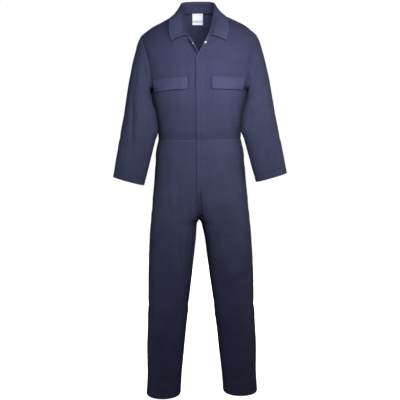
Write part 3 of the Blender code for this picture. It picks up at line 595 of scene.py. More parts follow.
# Soft ridges (depth over 0) and troughs (under 0), each a line seen from one side of the suit.
CREASE_COLUMNS = "from_x from_z to_x to_z width depth bow"
BODY_CREASES = {
    "front": table(
        CREASE_COLUMNS,
        [
            (-194, -130, -184, -300, 10, -1.8, 4),       # beside the right armhole
            (196, -140, 186, -300, 10, -1.5, -4),        # beside the left armhole
            (-168, -160, -150, -250, 22, 2.0, 4),
            (150, -130, 166, -232, 22, 1.8, -4),
            (-60, -150, -96, -240, 16, 1.2, 5),
            (-150, -446, -60, -452, 12, 0.8, 3),         # cloth bloused over the waist seam
            (45, -450, 150, -456, 12, 0.8, -3),
            (-90, -478, -20, -474, 8, -0.7, 2),
            (30, -476, 110, -482, 8, -0.8, -2),
            (-120, -330, -112, -430, 10, 0.9, 3),
            (-46, -232, -46, -310, 4, -3.2, 0),          # round the chest flaps
            (-206, -253, -34, -240, 4, -1.6, 0),
            (49, -234, 50, -308, 4, -3.2, 0),
            (36, -240, 200, -246, 4, -1.6, 0),
            (98, -330, 106, -440, 10, -0.8, -3),
            (-70, -520, -76, -640, 12, -1.0, 3),         # drape of the right front
            (-118, -530, -112, -700, 14, 1.2, -4),
            (-44, -640, -52, -800, 10, -1.1, 3),
            (-118, -620, -112, -800, 8, 1.8, 3),
            (-96, -640, -92, -800, 8, -1.6, -2),
            (-140, -600, -132, -780, 8, -1.3, 3),
            (70, -530, 84, -660, 16, 1.3, 4),
            (1, -700, 1, -842, 7.5, -10.0, 0),           # the fold between the legs
            (-15, -700, -13, -826, 6, -3.4, 0),
            (24, -720, 30, -810, 10, 2.2, -3),
            (-26, -740, -34, -812, 9, 1.8, 3),
            (104, -650, 110, -790, 40, 3.2, 0),          # left hip and thigh filled out
            (-112, -800, -108, -900, 8, 2.4, 2),         # upright drapes of the right thigh
            (-84, -880, -80, -1060, 7, -4.4, 3),
            (-66, -880, -68, -1070, 6.5, 4.2, 3),
            (-48, -890, -54, -1080, 6.5, -5.2, 3),
            (-120, -860, -118, -1130, 11, 1.9, -4),
            (-146, -880, -150, -1150, 10, -2.0, -3),
            (-150, -1120, -158, -1420, 11, 1.1, 3),
            (-110, -1240, -122, -1500, 10, -1.1, -3),
            (98, -895, 122, -1125, 36, 9.0, 0),          # left thigh pushed forward
            (60, -860, 82, -1010, 9, -3.0, 0),           # beside it
            (96, -850, 104, -900, 14, 1.8, 0),
            (172, -850, 188, -930, 14, -2.6, 0),
            (166, -1094, 228, -1042, 20, -2.8, 0),       # break under it
            (110, -1180, 196, -1200, 24, 1.0, 4),
            (78, -1010, 92, -1120, 9, -1.1, -4),
            (112, -1200, 126, -1400, 12, 1.3, 4),
            (150, -1200, 160, -1480, 14, 1.0, 4),
            (182, -1180, 192, -1420, 11, -1.2, -3),
            (112, -1260, 126, -1470, 10, -1.0, 3),
            (-215, -1530, -125, -1518, 10, -0.8, 3),     # above the hems
            (-205, -1556, -140, -1562, 8, 0.7, -2),
            (120, -1540, 205, -1520, 10, -0.8, -3),
        ],
    ),
    "back": table(
        CREASE_COLUMNS,
        [
            (-184, -150, -160, -330, 17, -4.5, 6),       # beside the armholes
            (186, -140, 166, -326, 17, -4.5, -6),
            (-120, -190, -96, -330, 22, 2.6, 5),
            (118, -180, 92, -320, 22, 2.4, -5),
            (-60, -120, 58, -128, 20, 1.6, 8),
            (-80, -34, 80, -34, 3.5, -1.8, -9),          # seam below the nape
            (-30, -240, -22, -430, 15, -2.6, 5),         # hang of the back
            (44, -230, 36, -420, 14, -2.4, -4),
            (-110, -370, -96, -480, 12, -2.6, 3),
            (112, -360, 104, -478, 12, -2.7, -4),
            (-150, -464, -30, -458, 11, 3.8, 3),         # bloused over the waist
            (18, -460, 140, -470, 12, 3.5, -3),
            (-130, -436, -24, -446, 9, -2.7, 4),
            (20, -444, 128, -434, 9, -2.6, -4),
            (-120, -510, -100, -640, 14, -2.4, 4),
            (112, -512, 96, -650, 14, -2.6, -4),
            (-6, -800, -120, -760, 15, -4.5, -7),        # under the seat
            (6, -806, 126, -770, 15, -4.6, 7),
            (-8, -834, -124, -838, 13, -3.2, -5),
            (10, -836, 130, -842, 13, -3.4, 5),
            (-70, -880, -84, -1120, 13, 2.6, 5),
            (-110, -900, -118, -1160, 12, -2.6, -4),
            (84, -870, 96, -1130, 13, 2.4, -4),
            (124, -890, 136, -1150, 12, -2.6, 4),
            (-205, -1196, -92, -1216, 15, -4.8, 6),      # behind the knees
            (-200, -1236, -100, -1224, 13, 3.2, -4),
            (-198, -1262, -112, -1280, 12, -3.0, 5),
            (94, -1206, 208, -1190, 15, -4.8, -6),
            (104, -1238, 200, -1250, 13, 3.0, 4),
            (112, -1280, 198, -1266, 12, -2.9, -4),
            (-150, -1330, -166, -1540, 12, 1.9, 4),
            (150, -1340, 166, -1550, 12, 1.9, -4),
        ],
    ),
    "left": table(
        CREASE_COLUMNS,
        [
            (-40, -540, -30, -600, 10, -1.0, 3),
            (40, -520, 60, -700, 16, -1.4, 4),
            (-50, -800, 40, -770, 14, -1.8, 4),
            (-20, -880, -10, -1130, 14, 1.4, 4),
            (30, -900, 40, -1180, 12, -1.4, -4),
            (-60, -1190, 50, -1220, 16, -1.9, 5),
            (-50, -1250, 60, -1236, 14, 1.5, -4),
            (-20, -1330, -8, -1520, 12, 1.1, 3),
        ],
    ),
    "right": table(
        CREASE_COLUMNS,
        [
            (-46, -530, -34, -600, 10, -1.0, -3),
            (36, -516, 56, -690, 16, -1.4, -4),
            (-60, -780, 44, -806, 14, -1.9, 4),
            (-30, -870, -16, -1150, 14, 1.5, -4),
            (24, -890, 36, -1160, 12, -1.3, 4),
            (-56, -1216, 58, -1188, 16, -1.9, -5),
            (-48, -1246, 50, -1262, 14, 1.4, 4),
            (-10, -1350, 4, -1540, 12, 1.1, -3),
        ],
    ),
}
SLEEVE_CREASES = {
    "front": table(
        CREASE_COLUMNS,
        [
            (-224, -140, -212, -260, 8, -2.2, 3),        # right sleeve: soft folds from the shoulder
            (-240, -200, -238, -340, 12, 3.2, 3),
            (-258, -150, -268, -300, 10, -3.0, -4),
            (-274, -290, -280, -560, 8, -5.6, -2),
            (-308, -380, -314, -470, 9, -1.6, -3),
            (-252, -320, -250, -440, 10, 2.6, 2),
            (-250, -430, -262, -600, 12, 2.6, 3),
            (-324, -400, -332, -600, 11, 1.6, -4),
            (-206, -350, -197, -500, 10, -5.0, 0),
            (206, -370, 196, -470, 9, -3.5, 0),
            (-206, -455, -240, -474, 12, -1.8, 5),       # crook of the elbow
            (-222, -500, -232, -660, 9, -2.2, 4),
            (-300, -560, -318, -660, 12, 1.3, 3),
            (216, -130, 206, -270, 8, -1.8, -3),         # left sleeve
            (231, -196, 236, -284, 11, 2.8, -2),
            (252, -180, 246, -300, 8, -2.2, 4),
            (272, -316, 230, -386, 8, 2.6, 5),
            (290, -250, 256, -340, 9, -2.0, 5),
            (262, -290, 226, -350, 7, -2.4, 5),
            (262, -360, 222, -420, 8, -2.2, 5),
            (212, -380, 206, -440, 8, -2.0, -4),
            (210, -450, 262, -480, 12, -1.8, -5),
            (281, -450, 290, -640, 10, 2.6, -4),
            (262, -500, 270, -660, 10, -2.0, -4),
            (306, -430, 322, -630, 10, -1.6, -4),
            (236, -560, 250, -676, 10, 1.2, 3),
        ],
    ),
    "back": table(
        CREASE_COLUMNS,
        [
            (-232, -150, -226, -330, 13, 2.3, -5),
            (-256, -180, -258, -390, 13, -3.0, 5),
            (-216, -250, -212, -400, 10, -2.7, -4),
            (-300, -440, -214, -470, 13, -4.1, 6),       # at the elbows
            (-306, -474, -220, -500, 12, 3.2, -5),
            (-316, -512, -226, -528, 12, -3.2, 5),
            (-262, -540, -284, -660, 11, 1.9, 4),
            (236, -150, 230, -320, 13, 2.3, 5),
            (260, -180, 256, -390, 13, -3.0, -5),
            (216, -250, 212, -400, 10, -2.7, 4),
            (302, -430, 214, -462, 13, -4.1, -6),
            (310, -466, 222, -492, 12, 3.2, 5),
            (318, -502, 228, -520, 12, -3.2, -5),
            (266, -540, 290, -650, 11, 1.9, -4),
        ],
    ),
    "left": table(
        CREASE_COLUMNS,
        [
            (-20, -120, -40, -330, 14, 1.6, 4),
            (24, -130, 10, -360, 13, -2.0, -4),
            (-70, -330, 10, -470, 14, -1.1, 6),
            (-84, -500, 20, -470, 14, -1.1, 5),
            (-80, -530, 14, -506, 14, 0.8, -4),
            (-40, -560, -52, -660, 10, -1.3, 3),
        ],
    ),
    "right": table(
        CREASE_COLUMNS,
        [
            (-18, -120, -36, -340, 14, 1.6, 4),
            (26, -130, 12, -350, 13, -2.0, -4),
            (-66, -350, 12, -460, 14, -1.0, 6),
            (-84, -486, 22, -476, 14, -1.0, 5),
            (-80, -524, 16, -512, 14, 0.8, -4),
            (-36, -560, -48, -664, 10, -1.3, 3),
        ],
    ),
}
VIEWS = {"front": (1, -1, 0), "back": (1, 1, 0), "left": (0, 1, 1), "right": (0, -1, 1)}


def creased(points, normals, creases):
    """How far each point is moved out by the creases of every view."""
    total = np.zeros(points.shape[:-1])
    for view, rows in creases.items():
        axis, sense, flat = VIEWS[view]
        facing = eased(normals[..., axis] * sense * 1.7)
        u, w = points[..., flat] / MM, points[..., 2] / MM
        depths = np.zeros_like(total)
        for x1, z1, x2, z2, width, depth, bow in zip(*rows.values()):
            run = math.hypot(x2 - x1, z2 - z1)
            t = ((u - x1) * (x2 - x1) + (w - z1) * (z2 - z1)) / run**2
            off = ((u - x1) * (z2 - z1) - (w - z1) * (x2 - x1)) / run - bow * 4 * t * (1 - t)
            ends = eased((1.2 - np.abs(2 * t - 1)) / 0.9)
            depths += depth * ends * np.exp(-((off / width) ** 2))
        total += depths * facing
    return total * MM


def ripples(points, across, down, seed, depth=1.0):
    """Uneven soft hang of cloth: noise up to a depth, which can be longer down the suit than across it."""
    scale = np.array([1 / across, 1 / across, 1 / down]) / MM
    flat = points.reshape(-1, 3) * scale + seed
    return np.array([noise.noise(Vector(p)) for p in flat]).reshape(points.shape[:-1]) * depth


SEWN_EDGES = {
    "front": ("last", "foot", "head"),
    "back": ALL_EDGES,
    "trouser_front": ("first", "last", "head"),
    "trouser_back": ("first", "last", "head"),
    "sleeve": ("foot", "first", "last"),
}


def kind_of(name):
    """A panel's name without its hand."""
    return name if name == "back" else name.rpartition("_")[0]


# Where a front sinks, in millimetres: how deep, how far from its edge the middle lies, and how wide.
BAND_GROOVE = (4.0, 6.0, 2.2)        # behind the rim of the left front in the open neck
FLY_GROOVE = (4.4, 15.2, 3.8)        # beside the covering strip's free edge
NECK_GROOVE = (11.0, 0.0, 10.5)      # behind the edge of the right front in the open neck


def groove(reach, share, depth, middle, width):
    """How far cloth sinks in a groove along its edge, where share says how much of the groove there is."""
    return depth * MM * share * np.exp(-(((reach - middle) / width) ** 2))


def fly_groove(name, flat, numbers):
    """How far a front sinks: beside the covering strip's free edge, and behind the edge of the open neck."""
    if not name.startswith(("front", "trouser_front")):
        return 0.0
    reach = flat.across / MM
    number = numbers[:, None] if name.startswith("front") else np.full((len(numbers), 1), 0.0)
    opened = eased((number - NECK_FOOT - 0.2) * 2) * eased((COLLAR_END - 0.05 - number) * 2.5)
    if name.endswith("left"):
        return groove(reach, opened, *BAND_GROOVE)
    closed = 1 - eased((number - NECK_FOOT + 0.1) * 4)
    return groove(reach, closed, *FLY_GROOVE) + groove(reach, opened, *NECK_GROOVE)


NO_ARMHOLE = 1000.0                        # stands for a panel that has no armhole
ARMHOLE_GROOVE = {-1: 4.2 * MM, 1: 2.4 * MM}
ARMHOLE_GROOVE_WIDTH = 6.5
ARMHOLE_GROOVE_FOOT, ARMHOLE_GROOVE_FADE = -305, 40


def armhole_reach(name, flat, numbers):
    """How far each point of a panel lies from the armhole, in millimetres."""
    kind = kind_of(name)
    if kind == "sleeve":
        return flat.along / MM
    if kind.startswith("trouser"):
        return np.full(flat.along.shape, NO_ARMHOLE)
    arm = int(np.argmin(np.abs(numbers - UNDERARM)))
    below = np.maximum(flat.along[arm] - flat.along, 0.0)
    return np.hypot(flat.rim(("last",) if kind == "front" else ("first", "last")), below) / MM


def armhole_groove(points, normals, reach):
    """How far the cloth sinks into the valley along the front of an armhole."""
    deep = np.where(points[..., 0] > 0, ARMHOLE_GROOVE[1], ARMHOLE_GROOVE[-1])
    above = eased((points[..., 2] / MM - ARMHOLE_GROOVE_FOOT) / ARMHOLE_GROOVE_FADE)
    ahead = eased(-1.5 * normals[..., 1]) * above
    return deep * ahead * np.exp(-((reach / ARMHOLE_GROOVE_WIDTH) ** 2))


RIPPLES = {                                # across, down, seed and depth of the uneven hang
    "sleeve": (30, 90, 3.1, 0.9),
    "body": (42, 130, 7.7, 0.8),
    "pucker": (13, 13, 1.3, 0.55),         # drawn up by the thread beside a seam
}
SLEEVE_FADE, RIPPLE_FADE, BODY_FADE = 34, 40, 16      # cloth is smooth nearer to the armhole than this
PUCKER_WIDTH = 9
SEAM_GROOVE, SEAM_GROOVE_WIDTH = 0.7 * MM, 1.7


@functools.cache
def cloth():
    """Every main panel as creased cloth, by name."""
    panels, numbers = drafted_points()
    normals = shared_normals(panels)
    scale = settings("cloth").crease
    moved = {}
    for name, points in panels.items():
        flat = Sheet(points, normals[name])
        kind = kind_of(name)
        seam = flat.rim(SEWN_EDGES[kind]) / MM
        reach = armhole_reach(name, flat, numbers[name])
        if kind == "sleeve":
            depth = creased(points, normals[name], SLEEVE_CREASES) * eased(reach / SLEEVE_FADE)
            depth += ripples(points, *RIPPLES["sleeve"]) * MM * eased(reach / RIPPLE_FADE)
            side = 1 if name.endswith("left") else -1
            depth *= 1 - 0.8 * eased(-1.6 * side * normals[name][..., 0] - 0.4)
        else:
            depth = creased(points, normals[name], BODY_CREASES)
            depth += ripples(points, *RIPPLES["body"]) * MM
            under_arm = eased(np.abs(normals[name][..., 0]) * 1.6 - 0.4) * eased(points[..., 2] / MM / 40 + 12.5)
            depth *= (1 - 0.7 * under_arm) * eased(reach / BODY_FADE)
        depth += ripples(points, *RIPPLES["pucker"]) * MM * np.exp(-seam / PUCKER_WIDTH)
        depth -= SEAM_GROOVE * np.exp(-((seam / SEAM_GROOVE_WIDTH) ** 2))
        depth -= fly_groove(name, flat, numbers[name]) + armhole_groove(points, normals[name], reach)
        moved[name] = points + normals[name] * (depth * scale)[..., None]
    normals = shared_normals(moved)
    return {name: Sheet(moved[name], normals[name], numbers[name]) for name in moved}


# ---------------------------------------------------------------- making meshes

SHARP_ANGLE = math.radians(50)
RIM_SHARE = 0.3                            # a free rim is rolled down to this share of its thickness


def put_on(name, mesh, material):
    """An object of the suit, which rides on the one body."""
    mesh.materials.append(material)
    mesh.shade_smooth()
    piece = bpy.data.objects.new(name, mesh)
    bpy.data.collections[COLLECTION].objects.link(piece)
    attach(piece, BODY)
    return piece


def finished(name, bm, material):
    """An object of the suit made from a bmesh, in place of the node of its name."""
    mesh = bpy.data.meshes.new(name)
    bm.to_mesh(mesh)
    bm.free()
    piece = put_on(name, mesh, material)
    mesh.set_sharp_from_angle(angle=SHARP_ANGLE)
    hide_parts(name)
    return piece


def cloth_wall(name, sheet, low, high, material, rub=0.0, open_column=None):
    """A piece of cloth: a grid laid on the sheet's points, given two faces low and high along the normals.

    The faces of an open column are left out, and edges that lie on each other are joined. The map "cloth"
    holds each point's place on the flat cloth, and the attribute "rub" how much lighter or darker it is drawn:
    wear, and painted light and shade.
    """
    rows, columns = sheet.points.shape[:2]
    low, high, rub = [np.broadcast_to(values, (rows, columns)) for values in (low, high, rub)]
    bm = bmesh.new()
    bmesh.ops.create_grid(bm, x_segments=columns - 1, y_segments=rows - 1, size=0.5)
    spot = bm.verts.layers.int.new("spot")
    wear_and_light_field = bm.verts.layers.float.new("rub")
    flat = bm.loops.layers.uv.new("cloth")
    for vert in bm.verts:
        i = round((vert.co.x + 0.5) * (columns - 1))
        j = round((vert.co.y + 0.5) * (rows - 1))
        vert[spot] = j * columns + i
        vert[wear_and_light_field] = rub[j, i]
    for face in bm.faces:
        for loop in face.loops:
            j, i = divmod(loop.vert[spot], columns)
            loop[flat].uv = sheet.across[j, i], sheet.along[j, i]
    if open_column is not None:
        pair = {open_column, open_column + 1}
        gone = [face for face in bm.faces if {vert[spot] % columns for vert in face.verts} == pair]
        bmesh.ops.delete(bm, geom=gone, context="FACES")
    for vert in bm.verts:
        vert.co = sheet.points[divmod(vert[spot], columns)]
    bmesh.ops.remove_doubles(bm, verts=bm.verts[:], dist=1e-6)
    under = bm.verts[:]
    raised = bmesh.ops.extrude_face_region(bm, geom=bm.faces[:])
    upper = [item for item in raised["geom"] if isinstance(item, bmesh.types.BMVert)]
    for heights, verts in ((low, under), (high, upper)):
        for vert in verts:
            at = divmod(vert[spot], columns)
            vert.co += Vector(sheet.normals[at] * heights[at])
    bmesh.ops.recalc_face_normals(bm, faces=bm.faces[:])
    if bm.calc_volume(signed=True) < 0:
        bmesh.ops.reverse_faces(bm, faces=bm.faces[:])
    bm.verts.layers.int.remove(spot)
    return finished(name, bm, material)


def rolled(sheet, low, high, sides=ALL_EDGES):
    """Heights of a pressed piece's two faces, drawn together at its free rim."""
    middle, half = (low + high) / 2, (high - low) / 2
    near = np.clip(sheet.rim(sides) / half, 0.0, 1.0)
    round_half = half * np.sqrt(np.maximum(1 - (1 - near) ** 2, RIM_SHARE**2))
    return middle - round_half, middle + round_half


def declare(sheet):
    """Works out a piece's flat size and area, and does nothing more with them."""
    width, length = float(sheet.across[:, -1].max()), float(sheet.along[-1].max())
    flat = (round(width + 0.0005, 3), round(length + 0.0005, 3))
    area = max(min(sheet.area(), flat[0] * flat[1]), 0.31 * flat[0] * flat[1])


def stitched(name, lines, height, material):
    """Rows of stitches as one mesh: the thread that shows between two holes, along each line."""
    sewing = settings("sewing")
    bm = bmesh.new()
    bmesh.ops.create_uvsphere(bm, u_segments=6, v_segments=4, radius=0.5)
    bmesh.ops.rotate(bm, verts=bm.verts[:], matrix=Matrix.Rotation(math.pi / 2, 3, "Y"))
    bmesh.ops.scale(bm, verts=bm.verts[:], vec=(sewing.stitch, sewing.thread, sewing.thread * 0.8))
    bm.verts.index_update()
    shape = np.array([vert.co for vert in bm.verts])
    faces = [[vert.index for vert in face.verts] for face in bm.faces]
    bm.free()
    points, loops = [], []
    for line in lines:
        lengths = walk(line[:, :3])
        count = max(int(lengths[-1] / sewing.pitch), 1)
        spots = (np.arange(count) + 0.5) * lengths[-1] / count
        step = sewing.pitch * 0.3
        at = spread(line, spots, lengths)
        way = spread(line, spots + step, lengths)[:, :3] - spread(line, spots - step, lengths)[:, :3]
        up = unit(at[:, 3:])
        way = unit(way - up * (way * up).sum(axis=1, keepdims=True))
        aside = np.cross(up, way)
        turns = np.stack([way, aside, up], axis=1)
        for centre, turn, facing in zip(at[:, :3], turns, up):
            base = len(points) * len(shape)
            points.append(shape @ turn + centre + facing * height)
            loops += [[base + k for k in face] for face in faces]
    mesh = bpy.data.meshes.new(name)
    mesh.from_pydata(np.concatenate(points).tolist(), [], loops)
    piece = put_on(name, mesh, material)
    return piece


def sew(name, sheet, low, high, material, rub, lines, height, open_column=None):
    """A piece of cloth with its rows of stitches at a height over its sheet."""
    piece = cloth_wall(name, sheet, low, high, material, rub, open_column)
    sewing = stitched(name + "_stitching", lines, height, thread())
    declare(sheet)


# ---------------------------------------------------------------- materials

def add_node(tree, kind, links=None, **values):
    """A node with its settings; links give what each input takes, a value or another node's output."""
    node = tree.nodes.new(kind)
    for name, value in values.items():
        setattr(node, name, value)
    for name, value in (links or {}).items():
        if isinstance(value, bpy.types.NodeSocket):
            tree.links.new(value, node.inputs[name])
        else:
            node.inputs[name].default_value = value
    return node


def blank_material(name, **surface):
    """A material with its node tree and its shader, whose inputs are named in small letters."""
    material = bpy.data.materials.new(name)
    material.use_nodes = True
    tree = material.node_tree
    shader = tree.nodes["Principled BSDF"]
    for key, value in surface.items():
        shader.inputs[key.replace("_", " ").title().replace("Ior", "IOR")].default_value = value
    return material, tree, shader


# Sizes of what is drawn on the surfaces. What is too fine to show is drawn coarser than it is.
TWILL_RIB = 2.2 * MM                 # 0.7 mm on the real cloth
YARN = 1.3 * MM                      # 0.4 mm
LABEL_RIB = 1.1 * MM                 # 0.25 mm
THREAD_PLY, SCRATCH = 1.2 * MM, 0.8 * MM
SHADE_PATCH = 70 * MM                # washed cloth varies in shade over about this distance
WAVE_PERIOD = 2 * math.pi / 20       # period of the wave texture at scale 1


def ranged(tree, value, low, high, dark=0.0, light=1.0):
    """A value from dark to light, mapped to the range from low to high."""
    limits = {"Value": value, "From Min": dark, "From Max": light, "To Min": low, "To Max": high}
    return add_node(tree, "ShaderNodeMapRange", limits).outputs["Result"]


def computed(tree, operation, *values):
    """The result of a math node."""
    return add_node(tree, "ShaderNodeMath", dict(enumerate(values)), operation=operation).outputs["Value"]


def bumped(tree, shader, height, strength, depth):
    """Gives a shader fine relief from a height, of the depth that it has where the height is 1."""
    bump = add_node(tree, "ShaderNodeBump", {"Height": height, "Strength": strength, "Distance": depth})
    tree.links.new(bump.outputs["Normal"], shader.inputs["Normal"])


@functools.cache
def twill(name, shade):
    """Polyester and cotton twill, woven and piece dyed: matt, with diagonal ribs and a faint sheen."""
    material, tree, shader = blank_material(
        name, roughness=0.82, specular_ior_level=0.28, sheen_weight=0.04, sheen_roughness=0.45
    )
    shader.inputs["Sheen Tint"].default_value = (0.55, 0.6, 0.9, 1.0)
    base = (*getattr(settings("finish"), shade), 1.0)
    flat = add_node(tree, "ShaderNodeUVMap", uv_map="cloth").outputs["UV"]
    place = add_node(tree, "ShaderNodeTexCoord").outputs["Object"]
    wear_and_light_field = add_node(tree, "ShaderNodeAttribute", attribute_name="rub").outputs["Fac"]
    # the diagonal ribs of the weave
    ribs = add_node(
        tree, "ShaderNodeTexWave",
        {"Vector": flat, "Scale": WAVE_PERIOD * math.sqrt(2) / TWILL_RIB, "Distortion": 0.6, "Detail": 1.0},
        bands_direction="DIAGONAL",
    ).outputs["Fac"]
    # yarns of uneven thickness, four times as long as wide
    yarn_size = {"Vector": flat, "Scale": (1 / YARN, 0.25 / YARN, 1.0)}
    yarn_place = add_node(tree, "ShaderNodeMapping", yarn_size).outputs["Vector"]
    yarn_noise = {"Vector": yarn_place, "Scale": 1.0, "Detail": 2.0}
    yarns = add_node(tree, "ShaderNodeTexNoise", yarn_noise).outputs["Fac"]
    # broad patches that took more or less of the dye
    patch_noise = {"Vector": place, "Scale": 1 / SHADE_PATCH, "Detail": 3.0, "Roughness": 0.6}
    patches = add_node(tree, "ShaderNodeTexNoise", patch_noise).outputs["Fac"]
    shade_now = ranged(tree, patches, 0.90, 1.10, 0.3, 0.7)
    yarn_now = ranged(tree, yarns, 0.93, 1.07, 0.3, 0.7)
    value = computed(tree, "MULTIPLY", shade_now, yarn_now)
    # cloth is lighter where it is worn, along edges and seams; it is also drawn lighter in the open neck as a
    # painted highlight, and darker inside the collar stand as painted shade
    lift = computed(tree, "MULTIPLY_ADD", wear_and_light_field, 0.35, value)
    tone = add_node(tree, "ShaderNodeHueSaturation", {"Value": lift, "Color": base}).outputs["Color"]
    tree.links.new(tone, shader.inputs["Base Color"])
    tree.links.new(ranged(tree, yarns, 0.76, 0.88, 0.3, 0.7), shader.inputs["Roughness"])
    bumped(tree, shader, computed(tree, "MULTIPLY_ADD", yarns, 0.6, ribs), 0.25, 0.25 * MM)
    return material


def single_twill():
    """Twill as it lies in one layer."""
    return twill("navy_twill", "navy")


def pressed_twill():
    """Twill doubled and pressed, in a lighter copy of the navy: painted light on the pieces that stand proud."""
    return twill("pressed_twill", "navy_painted_lighter")


@functools.cache
def thread():
    """Spun polyester sewing thread: a little smoother and brighter than the cloth."""
    material, tree, shader = blank_material("polyester_thread", roughness=0.55, specular_ior_level=0.4)
    place = add_node(tree, "ShaderNodeTexCoord").outputs["Object"]
    plies = add_node(tree, "ShaderNodeTexNoise", {"Vector": place, "Scale": 1 / THREAD_PLY}).outputs["Fac"]
    shade_now = ranged(tree, plies, 0.8, 1.2)
    base = (*settings("finish").thread, 1.0)
    tone = add_node(tree, "ShaderNodeHueSaturation", {"Value": shade_now, "Color": base}).outputs["Color"]
    tree.links.new(tone, shader.inputs["Base Color"])
    return material


@functools.cache
def label_ribbon():
    """Woven polyester satin ribbon: smooth and white, with fine weft ribs, one plain tinted band and a faint
    painted glow.
    """
    material, tree, shader = blank_material("satin_label", roughness=0.5, specular_ior_level=0.45)
    shader.inputs["Emission Color"].default_value = (0.9, 0.95, 1.0, 1.0)      # painted light: a faint glow that keeps the label bright in the shade inside the neck
    shader.inputs["Emission Strength"].default_value = 0.22
    flat = add_node(tree, "ShaderNodeUVMap", uv_map="cloth").outputs["UV"]
    height = add_node(tree, "ShaderNodeSeparateXYZ", {"Vector": flat}).outputs["Y"]
    ribs = add_node(
        tree, "ShaderNodeTexWave", {"Vector": flat, "Scale": WAVE_PERIOD / LABEL_RIB, "Distortion": 0.4},
        bands_direction="Y",
    ).outputs["Fac"]
    below = computed(tree, "LESS_THAN", height, LABEL_BAND[1])
    above = computed(tree, "GREATER_THAN", height, LABEL_BAND[0])
    band = computed(tree, "MULTIPLY", below, above)
    finish = settings("finish")
    tone = add_node(
        tree, "ShaderNodeMix", {"Factor": band, "A": (*finish.label, 1.0), "B": (*finish.label_band, 1.0)},
        data_type="RGBA",
    )
    tree.links.new(tone.outputs["Result"], shader.inputs["Base Color"])
    bumped(tree, shader, ribs, 0.2, 0.15 * MM)
    return material


@functools.cache
def nickel():
    """Nickel plated brass, stamped and tumbled: bright, with fine scratches."""
    material, tree, shader = blank_material("nickel_plate", metallic=1.0)
    place = add_node(tree, "ShaderNodeTexCoord").outputs["Object"]
    scratch_noise = {"Vector": place, "Scale": 1 / SCRATCH, "Detail": 3.0}
    scratches = add_node(tree, "ShaderNodeTexNoise", scratch_noise).outputs["Fac"]
    tree.links.new(ranged(tree, scratches, 0.18, 0.42), shader.inputs["Roughness"])
    shader.inputs["Base Color"].default_value = (*settings("finish").nickel, 1.0)
    return material


# ---------------------------------------------------------------- the pieces

EDGE_ROW = 1.8 * MM                   # the first of two rows of stitches lies this far from a seam
RUB_WIDTH = 2 * MM                    # a pressed edge is worn over about this width


def edge_rub(sheet, depth, sides):
    """Wear along the pressed edges of a piece."""
    return depth * np.exp(-sheet.rim(sides) / RUB_WIDTH)


def seam_rub(sheet, sides):
    """Wear along the ridge beside each seam, where the cloth is doubled."""
    beside = sheet.rim(sides) / MM
    return 0.5 * np.exp(-(((beside - 4.0) / 3.0) ** 2))


def hemmed(sheet, side):
    """Heights of the two faces of a panel whose hem is turned up inside, and its wear along the edge."""
    thick, deep = settings("cloth").single, settings("cloth").hem
    away = sheet.to_edge(side)
    roll = (1 - np.clip(away / (1.4 * MM), 0.0, 1.0)) ** 2
    seam = np.exp(-(((away - deep) / (1.6 * MM)) ** 2))
    turned = eased((deep + 0.8 * MM - away) / (0.8 * MM))
    high = 0.35 * MM * turned - 0.8 * MM * roll - 0.5 * MM * seam
    low = -thick - (thick + 0.3 * MM) * turned + 0.5 * MM * roll
    return low, high, 0.8 * roll


def nearest_row(sheet, number):
    """Which of a panel's rows lies nearest to a row number of its table."""
    return int(np.argmin(np.abs(sheet.numbers - number)))


def make_upper():
    """The fronts and the back, down to the waist seam."""
    thick, inset = settings("cloth").single, settings("sewing").inset
    for name in ("front_left", "front_right", "back"):
        sheet = cloth()[name]
        edges = SEWN_EDGES[kind_of(name)]
        arm = nearest_row(sheet, UNDERARM)
        lines = [sheet.edge("foot", row) for row in (inset, EDGE_ROW)]
        for side in [s for s in edges if s in ("first", "last")]:
            lines += [sheet.edge(side, row)[arm:-2] for row in (EDGE_ROW, inset)]
        if name != "back":
            lines.append(sheet.edge("head", inset, 3 * MM))
        sew(
            name, sheet, -thick, 0.0, single_twill(), seam_rub(sheet, edges), lines, 0.1 * MM,
            COLUMNS if name == "back" else None,
        )


def make_sleeves():
    """The sleeves, each with a turned hem at the cuff."""
    deep = settings("cloth").hem
    for _, hand in HANDS:
        name = "sleeve_" + hand
        sheet = cloth()[name]
        low, high, rub = hemmed(sheet, "head")
        sew(name, sheet, low, high, single_twill(), rub, [sheet.edge("head", deep)], -0.1 * MM)


def make_trousers():
    """The trouser fronts and backs, with turned hems."""
    inset, deep = settings("sewing").inset, settings("cloth").hem
    for _, hand in HANDS:
        for half in ("front", "back"):
            name = f"trouser_{half}_{hand}"
            sheet = cloth()[name]
            low, high, rub = hemmed(sheet, "foot")
            rub = np.maximum(rub, seam_rub(sheet, ("first", "last", "head")))
            lines = [sheet.edge("foot", deep), sheet.edge("head", EDGE_ROW), sheet.edge("head", inset)]
            rise = nearest_row(sheet, CROTCH_ROW)
            lines += [sheet.edge("first", row)[rise:] for row in (EDGE_ROW, inset)]
            sew(name, sheet, low, high, single_twill(), rub, lines, 0.0)


FLY_LAP = 12.0                        # how far a strip passes its front's edge, in millimetres
FLY_FOOT = {1: -806.0, -1: -742.0}    # heights of the strips' feet
FLY_HEAD = -86.0                      # and of their heads, at the collar's ends
NECK_RISE = 6.0                       # the strips' rims run this much higher than the fronts' edges
# The rim of each strip in the open neck, from the collar down: it stands forward of its front.
NECK_RIM = {
    1: table(
        "x y z",
        [
            (46, -88, -62), (38.5, -102, -76), (31, -111, -90), (25, -116, -100), (19.5, -120, -112),
            (12, -124, -127), (3, -128, -142), (-5, -129, -155), (-10.5, -128.5, -168), (-12, -127.5, -180),
        ],
    ),
    -1: table(
        "x y z",
        [
            (-48, -88, -62), (-40, -103, -76), (-33, -112, -90), (-26, -119, -103), (-19.5, -125, -117),
            (-12, -127, -135), (-5, -127, -153), (3, -126.5, -167), (12, -127, -180),
        ],
    ),
}
NECK_BULGE = {1: 0.6, -1: 0.0}        # how evenly a strip comes forward to its rim: 1 is evenly
